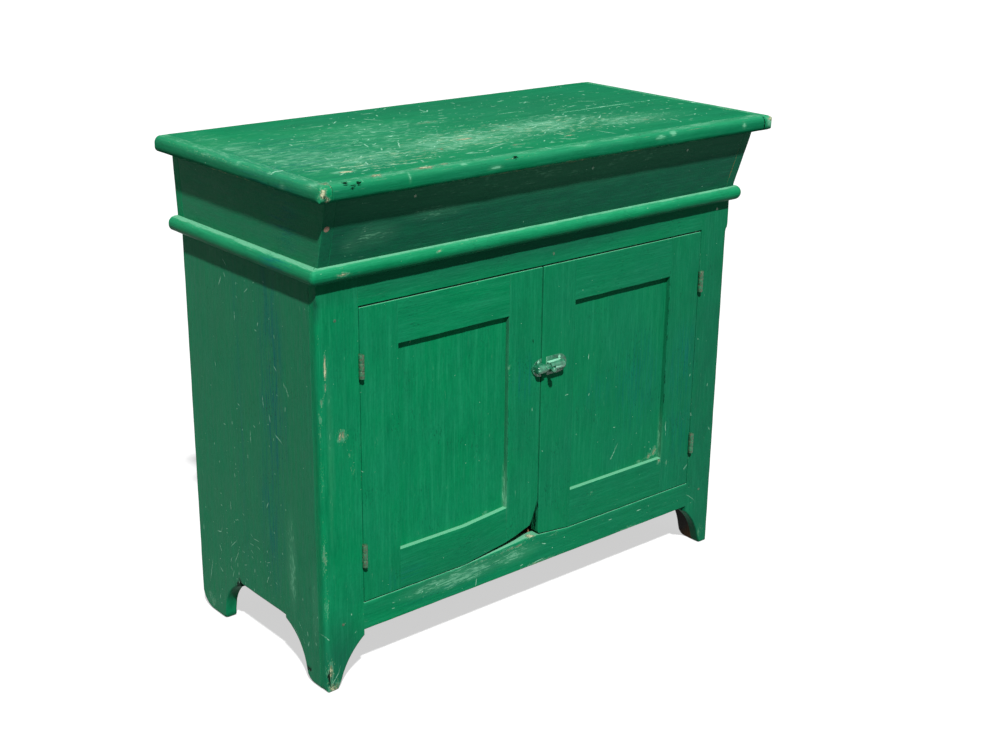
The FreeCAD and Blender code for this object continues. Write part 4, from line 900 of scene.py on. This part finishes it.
class DRYSINK_OT_case(bpy.types.Operator):
    """Make the side boards and the face frame"""

    bl_idname = "dry_sink.case"
    bl_label = "Case"

    def execute(self, context):
        wear = look().arris_wear
        back_low = corners("back_board_1")[0]
        rebate = corners("back_board_4")[1][0]
        for side, name, outer, _ in SIDES:
            node = "side_" + name
            # The grid follows the curves of the feet, the ends of the arch and the rebate of the back.
            lines = {"x": [side * rebate], "z": FOOT_LINES,
                     "y": [*(FRONT + np.array([30, 60, 66, 90, ARCH_FRONT - 0.2, ARCH_FRONT + 0.2])),
                           *(CASE_BACK - np.array([ARCH_REAR + 0.2, ARCH_REAR - 0.2, 78, 74, 22, 12, 6, 3])),
                           back_low[1] - 0.1, back_low[1] + 0.1]}
            skin = plank(*corners(node), 2, lines=lines, arrises={outer + " z-": 7.0}, seed=3 + side)

            def shape(x, y, z, side=side):
                s, t = y - FRONT, CASE_BACK - y
                front = foot(s, heel=0, toe=60, toe_r=18, top=ARCH_FRONT, rise=88, sag=12.5)
                rear = foot(t, heel=32, toe=78, toe_r=8, top=ARCH_REAR, rise=88, sag=16)
                floor = np.where(s < ARCH_FRONT, front, np.where(t < ARCH_REAR, rear, ARCH_TOP))
                housed = (y > back_low[1]) & (z > back_low[2]) & (side * x < rebate)
                return np.where(housed, side * rebate, x), y, raised(z, floor, reach=260)

            put(node, skin.bent(shape), "case", wear=wear * 0.5, dust=0.9, bare=(-side, 0, 0))

        for side, name, outer, inner in SIDES:
            node = "face_stile_" + name
            low, high = corners(node)
            width = high[0] - low[0]
            # The outer arris is well rounded up to a stop below the bead.
            stop = high[2] - (34 if side < 0 else 56)
            edges = {outer + " y-": ((stop - 8, stop + 1), (8.5, 0.8)), outer + " y+": 0.3,
                     inner + " y-": 0.35, "y- z-": 5.0, outer + " z-": 7.0}
            skin = plank(low, high, 2, arrises=edges, lines={"z": FOOT_LINES}, seed=11 + side)

            def footed(x, y, z, side=side, width=width):
                floor = foot(HALF_W - side * x, heel=5, toe=27, toe_r=8, top=width, rise=82, sag=7.5)
                return x, y, raised(z, floor, reach=240)

            put(node, skin.bent(footed), "case", wear=wear * 0.7, bare=(0, 1, 0))

        for node in ("face_rail_bottom", "face_rail_top"):
            low, high = corners(node)
            low[0], high[0] = STILE_LEFT_HIGH[0] - TUCK, STILE_RIGHT_LOW[0] + TUCK
            low[1], high[1] = FRONT + SHY, STILE_LEFT_HIGH[1]
            if node == "face_rail_top":
                skin = plank(low, high, 0, arrises={"y- z-": 0.5}, seed=17)
            else:
                def crowned(x, y, z, base=low[2]):
                    share = np.clip((z - base) / (DOOR_LOW - base), 0, 1)
                    return x, y, z + np.interp(x, CROWN_AT, CROWN_HEIGHT) * share

                high[2] = DOOR_LOW - 2.0  # the gap under the doors
                lines = {"x": [*CROWN_AT, -100, -60, 20]}
                skin = plank(low, high, 0, arrises={"z+ y-": 1.6}, lines=lines, seed=18).bent(crowned)
            put(node, skin, "case", wear=wear * 0.7, bare=(0, 1, 0), chalk=0.8)
        return {"FINISHED"}


class DRYSINK_OT_inside(bpy.types.Operator):
    """Make the back, the floors, the shelf and the other boards inside"""

    bl_idname = "dry_sink.inside"
    bl_label = "Inside"

    def execute(self, context):
        # Each board of the back is two thin layers, set apart sideways by the shiplap, that overlap
        # by 0.2 mm each way in the middle.
        lap = 8.0
        for i in range(4):
            node = "back_board_%d" % (i + 1)
            low, high = corners(node)
            middle = (low[1] + high[1]) / 2
            front_end = (high[0] - (lap if i < 3 else 0), middle + 0.2, high[2])
            rear_start = (low[0] + (lap if i > 0 else 0), middle - 0.2, low[2])
            skin = plank(low, front_end, 2, shown=False, seed=31 + i)
            put(node, skin + plank(rear_start, high, 2, shown=False, seed=31 + i), "case", BARE)
        boards = (("cupboard_floor", 0), ("well_floor", 0), ("shelf", 0), ("shelf_cleat_left", 1),
                  ("shelf_cleat_right", 1))
        for seed, (node, axis) in enumerate(boards, 42):
            slot = "painted_pine" if "cleat" in node else "bare_pine"
            skin = plank(*corners(node), axis, shown=False, seed=seed)
            put(node, skin, "case", (slot, "aged_bare_pine"))
        # One stop stands at each end of the node.
        low, high = corners("door_stops")
        width = 90.0
        skin = plank(low, (low[0] + width, high[1], high[2]), 0, shown=False, seed=51)
        skin = skin + plank((high[0] - width, low[1], low[2]), high, 0, shown=False, seed=52)
        put("door_stops", skin, "case", BARE)
        return {"FINISHED"}


# ---- Well and bead -------------------------------------------------------------------------------
def rise_share(z):
    """How far up the well a height is, from 0 at the case to 1 under the lid."""
    return (z - CASE_TOP) / WELL_H


def narrowed(x, z, reach):
    """Places across the well, drawn in by the ends' lean from the lid down to the case."""
    return x * (1 - (1 - rise_share(z)) * LEAN / reach)


class DRYSINK_OT_well(bpy.types.Operator):
    """Make the canted well"""

    bl_idname = "dry_sink.well"
    bl_label = "Well"

    def execute(self, context):
        wear = look().arris_wear
        low, high = corners("well_front")
        reach = high[0]
        skin = plank((-reach, 0, low[2]), (reach, high[1] - FRONT, high[2]), 0, seed=61)

        def canted(x, y, z):
            return narrowed(x, z, reach), y + FRONT - FLARE * rise_share(z), z

        # The front is darkened as painted shade under the lid, and lifted near the top by painted light.
        put("well_front", skin.bent(canted), "case", grime=1.15, bare=(0, 1, 0))

        # An end is made on a grid of this length. Its first part keeps its size, so that the front
        # arris stays round, and the rest is fitted to the slope of the front and to the rear.
        long, kept = 1000, 12
        for side, name, _, _ in SIDES:
            node = "well_end_" + name
            low, high = corners(node)
            thick = HALF_W - min(abs(low[0]), abs(high[0]))
            skin = plank((0, 0, low[2]), (thick, long, high[2]), 1, step=5, seed=63 + side,
                         lines={"y": np.linspace(0, long, 90)}, arrises={"x+ y-": 1.6})

            def leaning(x, y, z, side=side, rear=high[1], thick=thick):
                start = FRONT - FLARE * rise_share(z)
                fitted = start + kept + (y - kept) / (long - kept) * (rear - start - kept)
                across = side * (HALF_W + LEAN * rise_share(z) - (thick - x))
                return across, np.where(y < kept, start + y, fitted), z

            if side < 0:
                skin.quads = skin.quads[:, ::-1]
            # The ends' front edges are darkened as painted shade under the lid.
            put(node, skin.bent(leaning), "case", wear=wear * 0.1, dust=0.9, grime=1.0,
                bare=(-side, 0, 0))

        low, high = corners("well_back")
        skin = plank(low, high, 0, shown=False, seed=67)
        put("well_back", skin.bent(lambda x, y, z: (narrowed(x, z, high[0]), y, z)), "case",
            wear=wear * 0.3, bare=(0, -1, 0))
        return {"FINISHED"}


def rounded_corner(x, y, corner_x, corner_y, radius):
    """Plan position pulled in to a quarter circle at each front corner of a moulding."""
    va, vb = radius - (corner_x - np.abs(x)), radius - (y - corner_y)
    pull = drawn_in(va, vb, radius)
    return np.sign(x) * (corner_x - radius + va * pull), corner_y + radius - vb * pull


class DRYSINK_OT_bead(bpy.types.Operator):
    """Make the half-round bead with its mitres"""

    bl_idname = "dry_sink.bead"
    bl_label = "Bead"

    def execute(self, context):
        wear = look().arris_wear
        low, high = corners("bead_right")
        out_x, out_y = high[0], corners("bead_front")[0][1]
        middle = (low[2] + high[2]) / 2
        half = (high[2] - low[2]) / 2 - 0.05
        left_turn, right_turn = 9.0, 15.0
        close = np.array([1, 2, 3.2, 4.6, 6.2, 8, 10, 12.5, 15, 18])

        def turned_corner(x, y, z, radius):
            # The half-round draws in above and below its middle, and its plan corner with it.
            inset = half - np.sqrt(np.maximum(half ** 2 - (z - middle) ** 2, 0))
            radius = np.maximum(radius - inset, 0.5)
            return *rounded_corner(x, y, out_x - inset, out_y + inset, radius), z

        def front(x, y, z):
            x = x * (HALF_W + (FRONT - y)) / out_x
            return turned_corner(x, y, z, np.where(x > 0, right_turn, left_turn))

        skin = plank((-out_x, out_y, low[2]), (out_x, FRONT, high[2]), 0, step=4, seed=71,
                     arrises={"y- z-": half, "y- z+": half},
                     lines={"x": [*(close - out_x), *(out_x - close)]})
        # The bead's upper round is lighter, as faded paint and as a painted highlight.
        put("bead_front", skin.bent(front), "case", wear=wear * 0.8, bleach_and_light=0.6, chalk=0.8)

        for side, name, outer, _ in SIDES:
            node = "bead_" + name
            low, high = corners(node)
            near_x, far_x = sorted((side * HALF_W, side * out_x))
            skin = plank((near_x, out_y, low[2]), (far_x, high[1], high[2]), 1, step=4, seed=73 + side,
                         arrises={outer + " z-": half, outer + " z+": half},
                         lines={"y": out_y + close[:-1]})

            def mitred(x, y, z, radius=right_turn if side > 0 else left_turn, rear=high[1]):
                start = FRONT - (np.abs(x) - HALF_W)
                y = start + (y - out_y) / (rear - out_y) * (rear - start)
                return turned_corner(x, y, z, radius)

            put(node, skin.bent(mitred), "case", wear=wear * 0.8, dust=0.35, bleach_and_light=0.5, chalk=0.8)
        return {"FINISHED"}


# ---- Lid -----------------------------------------------------------------------------------------
class DRYSINK_OT_lid(bpy.types.Operator):
    """Make the lid with its nosings and battens"""

    bl_idname = "dry_sink.lid"
    bl_label = "Lid"

    def execute(self, context):
        wear = look().arris_wear
        for seed, node in ((81, "lid_board_front"), (82, "lid_board_rear")):
            low, high = corners(node)
            # Each end runs a little way in under its nosing.
            low[0], high[0] = low[0] - 0.3, high[0] + 0.3
            skin = plank(low, high, 0, seed=seed, flat=detail().flatness * 2)
            put(node, skin, "lid", RUBBED, wear=wear * 0.7, bleach_and_light=0.05, bare=(0, 0, -1))

        # The nosings are rounded by hand: more above than below, and wavy along their length.
        above, below = 12.0, 10.0
        nosing = {"step": 4, "flat": 0.45}
        edges = {"y- z+": above, "y- z-": below, "y+ z+": 0.4}
        skin = plank(*corners("lid_nosing_front"), 0, arrises=edges, seed=83, **nosing)
        # Its front face is darkened as painted shade.
        put("lid_nosing_front", skin, "lid", RUBBED, wear=wear, bleach_and_light=0.4, grime=0.4, chalk=0.4)
        for side, name, outer, inner in SIDES:
            edges = {outer + " z+": above, outer + " z-": below, "y- z+": above, "y- z-": below,
                     outer + " y-": 9.0, inner + " z+": 0.8, inner + " y-": 1.6}
            node = "lid_nosing_" + name
            skin = plank(*corners(node), 1, arrises=edges, seed=85 + side, **nosing)
            put(node, skin, "lid", RUBBED, wear=wear, dust=0.8, bleach_and_light=0.35, chalk=0.4)
        for side, name, _, _ in SIDES:
            node = "lid_batten_" + name
            skin = plank(*corners(node), 1, shown=False, radius=1.5, seed=87 + side)
            put(node, skin, "lid", BARE)
        return {"FINISHED"}


# ---- Doors ---------------------------------------------------------------------------------------
# Worn corner of the left door: distances in from its free edge, and how far the bottom has gone.
LOST = (0, 6, 11, 15, 18, 24, 30, 52, 75, 120, 165)
LOST_HEIGHT = (80, 60, 45, 35, 30, 28, 26.5, 19, 13.5, 6.75, 0)
# The right door's bottom rises to its free edge over the rail's crown: how high, and over what run.
EASED, EASED_RUN = 7.95, 75.5


class DRYSINK_OT_doors(bpy.types.Operator):
    """Make both framed doors and the turn button inside"""

    bl_idname = "dry_sink.doors"
    bl_label = "Doors"

    def execute(self, context):
        wear = look().arris_wear
        for side, name, outer, _ in SIDES:
            body = "door_" + name
            hinge_low, hinge_high = corners(body + "_stile_hinge")
            meet_low, meet_high = corners(body + "_stile_meeting")
            inside = sorted((hinge_high[0], hinge_low[0], meet_low[0], meet_high[0]))[1:3]
            free = meet_high[0] if side < 0 else meet_low[0]
            base = meet_low[2] = hinge_low[2]
            seed = 91 if side < 0 else 97

            def worn(x, y, z, free=free, base=base, side=side):
                if side > 0:
                    lift = EASED * np.clip((CROWN_AT[-1] - x) / EASED_RUN, 0, 1)
                    return x, y, z + lift * (1 - np.clip((z - base) / 100, 0, 1))
                lift = np.interp(free - x, LOST, LOST_HEIGHT)
                return x, y, z + lift * (1 - np.clip((z - base) / 170, 0, 1))

            lines = {"x": free - np.array(LOST) if side < 0 else [10, 25, 45, CROWN_AT[-1]]}
            skin = plank(hinge_low, hinge_high, 2, arrises={outer + " y-": 0.35}, seed=seed)
            put(body + "_stile_hinge", skin, body, wear=wear * 0.4, chalk=0.8, bare=(0, 1, 0))
            arrises = {"x- y-": 1.8, **({"x- z-": 5.0} if side > 0 else {})}
            skin = plank(meet_low, meet_high, 2, lines=lines, arrises=arrises, seed=seed + 1)
            put(body + "_stile_meeting", skin.bent(worn), body, wear=wear * 0.5,
                dust=0.9 if side < 0 else 0.2, chalk=0.8, bare=(0, 1, 0))
            for offset, rail in ((2, "_rail_top"), (3, "_rail_bottom")):
                low, high = corners(body + rail)
                low[0], high[0] = inside[0] - TUCK, inside[1] + TUCK
                low[1], high[1] = FRONT + SHY, meet_high[1] - SHY
                skin = plank(low, high, 0, lines=lines, seed=seed + offset)
                if rail == "_rail_bottom":
                    skin = skin.bent(worn)
                put(body + rail, skin, body, wear=wear * 0.4, chalk=1.0, bare=(0, 1, 0))
            skin = plank(*corners(body + "_panel"), 2, seed=seed + 4)
            put(body + "_panel", skin, body, bare=(0, 1, 0))

        ends = {x + z: 7.9 for x in ("x- ", "x+ ") for z in ("z-", "z+")}
        skin = plank(*corners("turn_button"), 0, shown=False, step=4, arrises=ends, seed=103)
        put("turn_button", skin, "turn_button", BARE)
        return {"FINISHED"}


# ---- Metalwork -----------------------------------------------------------------------------------
PLAY = 0.15  # half the gap between two knuckles of a hinge
LEAF = np.array([0.25, 1.85])  # the near and the far face of a leaf, from the middle of the pin


def knuckle(low, high, radius, bulge=0.4):
    """Profile of a hinge knuckle between two heights: a cylinder whose ends are softened by a bulge."""
    end = [(0, radius - bulge), (bulge * 0.4, radius - bulge * 0.3), (bulge, radius)]
    return [(low + s, r) for s, r in end] + [(high - s, r) for s, r in reversed(end)]


def hinge_skins(low, high, axis, spot, barrel_r):
    """Fixed knuckles, moving knuckle and pin of a butt hinge whose barrel lies along an axis through
    a spot, between two heights."""
    third = (high - low) / 3
    fixed = turned(knuckle(low, low + third - PLAY, barrel_r), spot, axis)
    fixed = fixed + turned(knuckle(high - third + PLAY, high, barrel_r), spot, axis)
    moving = turned(knuckle(low + third + PLAY, high - third - PLAY, barrel_r), spot, axis)
    pin = [(low - 1.0, 1.2), (low - 0.8, 2.0), (high + 0.8, 2.0), (high + 1.0, 1.2)]
    return [fixed, moving, turned(pin, spot, axis)]


class DRYSINK_OT_hinges(bpy.types.Operator):
    """Make the butt hinges of the doors and the lid"""

    bl_idname = "dry_sink.hinges"
    bl_label = "Hinges"

    def execute(self, context):
        joints = {joint["name"]: joint for joint in frame["joints"]}
        for name in ("door_left", "door_right", "lid"):
            lid = name == "lid"
            middle = np.array(joints[name + "_hinge"]["pos_m"]) / MM
            leaves = name + "_hinge_leaves_"
            fixed_node = leaves + ("well" if lid else "frame")
            moving_node = leaves + ("lid" if lid else "door")
            low, high = corners(fixed_node)
            # A lid hinge lies along x with its leaves level, and a door hinge stands with them upright.
            k, across, length, radius = (0, 2, 60.0, 4.0) if lid else (2, 0, 40.0, 4.5)
            way = 1 if name == "door_right" else -1
            axis = np.eye(3)[k]
            sets = []
            for start in (low[k], high[k] - length):
                end = start + length
                pieces = hinge_skins(start, end, axis, middle * (1 - axis), radius)
                for index, sign in ((0, way), (1, -way)):
                    near, far = sorted(middle[across] + sign * LEAF)
                    if lid:
                        plate = (start, low[1], near), (end, middle[1] - 2, far)
                    else:
                        plate = (near, middle[1] + 2, start), (far, high[1], end)
                    pieces[index] = pieces[index] + board(*plate, k, step=8, radius=0.3, flat=0)
                sets.append(pieces)
            fixed, moving, pin = [one + other for one, other in zip(*sets)]
            put(fixed_node, fixed, "case", HINGE)
            put(moving_node, moving, name, HINGE)
            put(name + "_hinge_pins", pin, "case", HINGE)
        for node, material in (("case_screws", "rusted_steel"), ("lid_screws", "rusted_steel"),
                               ("door_left_screws", "painted_cast_iron"),
                               ("door_right_screws", "painted_cast_iron"),
                               ("turn_button_screw", "painted_cast_iron")):
            screws = frame["nodes"][node]
            screws.data.materials.clear()
            screws.data.materials.append(bpy.data.materials[material])
        return {"FINISHED"}


class DRYSINK_OT_latch(bpy.types.Operator):
    """Make the slide latch: the frame's own castings with their arrises run soft under the paint"""

    bl_idname = "dry_sink.latch"
    bl_label = "Latch"

    def execute(self, context):
        for node, body, slot in (("latch_plate", "door_right", "latch_casting"),
                                 ("latch_keeper", "door_left", "latch_casting"),
                                 ("latch_bolt", "latch_bolt", "bolt_steel")):
            mesh = frame["nodes"][node].data.copy()
            cast = bmesh.new()
            cast.from_mesh(mesh)
            bmesh.ops.remove_doubles(cast, verts=cast.verts, dist=1e-6)
            bmesh.ops.dissolve_limit(cast, angle_limit=math.radians(1), verts=cast.verts, edges=cast.edges)
            cast.to_mesh(mesh)
            cast.free()
            mesh.shade_smooth()
            mesh.materials.clear()
            mesh.materials.append(bpy.data.materials["painted_cast_iron"])
            piece = bpy.data.objects.new(node + "_casting", mesh)
            context.scene.collection.objects.link(piece)
            soft = piece.modifiers.new("soft arrises", "BEVEL")
            soft.width = 0.9 * MM
            soft.segments = 3
            soft.angle_limit = math.radians(38)
            soft.harden_normals = False
            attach(piece, body)
            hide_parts(node)
        return {"FINISHED"}


# Middles of the nail heads in the well's front and in the face frame, x and z, and of the plug.
WELL_NAILS = ((72, 817), (-300, 822), (300, 820), (-120, 724), (230, 726))
FRAME_NAILS = ((428, 689), (20, 671), (-426, 118), (-428, 640), (426, 122))
PLUG = (-455.5, 792)


class DRYSINK_OT_nails(bpy.types.Operator):
    """Make the nail heads of the well and the face frame, and the pine plug over one of them"""

    bl_idname = "dry_sink.nails"
    bl_label = "Nails"

    def execute(self, context):
        def on_slope(x, z):
            return x, FRONT - FLARE * rise_share(z), z

        size = detail().nail_radius
        # A head in the well stands square to its slope.
        square_out, level = (0, -WELL_H, -FLARE), (0, -1, 0)
        head = [(-1.0, size), (0.12, size), (0.3, size * 0.8), (0.36, size * 0.3)]
        heads = [turned(head, on_slope(*place), square_out, sides=16) for place in WELL_NAILS]
        heads += [turned(head, (x, FRONT, z), level, sides=16) for x, z in FRAME_NAILS]
        put("nail_heads", sum(heads[1:], heads[0]), "case", ("screw_steel", "rusted_steel"))
        plug = [(-1.0, 4.8), (0.0, 4.8), (0.15, 4.2), (0.2, 1.0)]
        put("nail_plug", turned(plug, on_slope(*PLUG), square_out, sides=24), "case",
            ("bare_pine", "end_grain_pine"))
        return {"FINISHED"}


# ---- Stage ---------------------------------------------------------------------------------------
FLOOR_HALF = 30.0  # metres
# Fill light from all round, a little blue, and its strength.
FILL, FILL_STRENGTH = (0.93, 0.96, 1.0), 0.10
# Sun: the way it shines, its strength, and its width in degrees, which softens the shadows' edges.
SUN_WAY, SUN_STRENGTH, SUN_WIDTH = (0.40, 0.71, -1.0), 4.55, 2.2
# Camera: its place in metres, its yaw, pitch and roll in degrees, and its lens in millimetres.
CAMERA_PLACE, CAMERA_TURN, CAMERA_LENS = (-1.64655, -1.9901, 1.33902), (40.58, -19.85, 0.8), 54.03


class DRYSINK_OT_stage(bpy.types.Operator):
    """Make the floor, the lights and the camera"""

    bl_idname = "dry_sink.stage"
    bl_label = "Stage"

    def execute(self, context):
        scene = context.scene
        s = FLOOR_HALF
        mesh = bpy.data.meshes.new("floor")
        mesh.from_pydata([(-s, -s, 0), (s, -s, 0), (s, s, 0), (-s, s, 0)], [], [(0, 1, 2, 3)])
        mesh.materials.append(bpy.data.materials["pale_stage"])
        floor = bpy.data.objects.new("floor", mesh)
        scene.collection.objects.link(floor)

        world = bpy.data.worlds.new("studio")
        world.use_nodes = True
        tree = world.node_tree
        tree.nodes.clear()
        fill = add(tree, "Background", (FILL, FILL_STRENGTH))
        white = add(tree, "Background", ((1.0, 1.0, 1.0), 1.0))
        both = add(tree, "MixShader", (seen_direct(tree), fill, white))
        output = tree.nodes.new("ShaderNodeOutputWorld")
        tree.links.new(both, output.inputs[0])
        scene.world = world

        sun = bpy.data.lights.new("key", "SUN")
        sun.energy = SUN_STRENGTH
        sun.angle = math.radians(SUN_WIDTH)
        lamp = bpy.data.objects.new("key", sun)
        lamp.rotation_mode = "QUATERNION"
        lamp.rotation_quaternion = Vector(SUN_WAY).to_track_quat("-Z", "Y")
        scene.collection.objects.link(lamp)

        yaw, pitch, roll = (math.radians(angle) for angle in CAMERA_TURN)
        ahead = Vector((math.sin(yaw) * math.cos(pitch), math.cos(yaw) * math.cos(pitch), math.sin(pitch)))
        right = Vector((math.cos(yaw), -math.sin(yaw), 0))
        up = right.cross(ahead)
        right, up = (right * math.cos(roll) + up * math.sin(roll),
                     up * math.cos(roll) - right * math.sin(roll))
        turn = Matrix((right, up, -ahead)).transposed()
        camera = bpy.data.objects.new("camera", bpy.data.cameras.new("camera"))
        camera.matrix_world = Matrix.Translation(CAMERA_PLACE) @ turn.to_4x4()
        camera.data.sensor_width = 36
        camera.data.lens = CAMERA_LENS
        camera.data.clip_end = 100
        scene.collection.objects.link(camera)
        scene.camera = camera
        scene.view_settings.view_transform = "Standard"
        return {"FINISHED"}


class DRYSINK_PT_panel(bpy.types.Panel):
    """Colours, wear and pieces of the cabinet"""

    bl_idname = "DRYSINK_PT_panel"
    bl_label = "Dry Sink"
    bl_space_type = "VIEW_3D"
    bl_region_type = "UI"
    bl_category = "Dry Sink"

    def draw(self, context):
        for group in (context.scene.dry_sink_look, context.scene.dry_sink_detail):
            for key in group.bl_rna.properties.keys():
                if key not in ("rna_type", "name"):
                    self.layout.prop(group, key)
        for operator in OPERATORS:
            self.layout.operator(operator.bl_idname)


OPERATORS = (DRYSINK_OT_case, DRYSINK_OT_inside, DRYSINK_OT_well, DRYSINK_OT_bead, DRYSINK_OT_lid,
             DRYSINK_OT_doors, DRYSINK_OT_hinges, DRYSINK_OT_latch, DRYSINK_OT_nails, DRYSINK_OT_stage)
CLASSES = (DrySinkLook, DrySinkDetail, *OPERATORS, DRYSINK_PT_panel)


def register():
    for cls in CLASSES:
        bpy.utils.register_class(cls)
    bpy.types.Scene.dry_sink_look = bpy.props.PointerProperty(type=DrySinkLook)
    bpy.types.Scene.dry_sink_detail = bpy.props.PointerProperty(type=DrySinkDetail)


def unregister():
    del bpy.types.Scene.dry_sink_detail
    del bpy.types.Scene.dry_sink_look
    for cls in reversed(CLASSES):
        bpy.utils.unregister_class(cls)


def main():
    """Registers the add-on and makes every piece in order."""
    register()
    old_green_paint(look(), "old_green_paint", gloss=0.015, cut=1.0)
    old_green_paint(look(), "rubbed_green_paint", gloss=0.0, cut=1.7)
    for make in (aged_bare_pine, end_grain_pine, painted_cast_iron, rusted_steel):
        make(look())
    pale_stage()
    for operator in OPERATORS:
        group, name = operator.bl_idname.split(".")
        getattr(getattr(bpy.ops, group), name)()


if __name__ == "__main__":
    main()
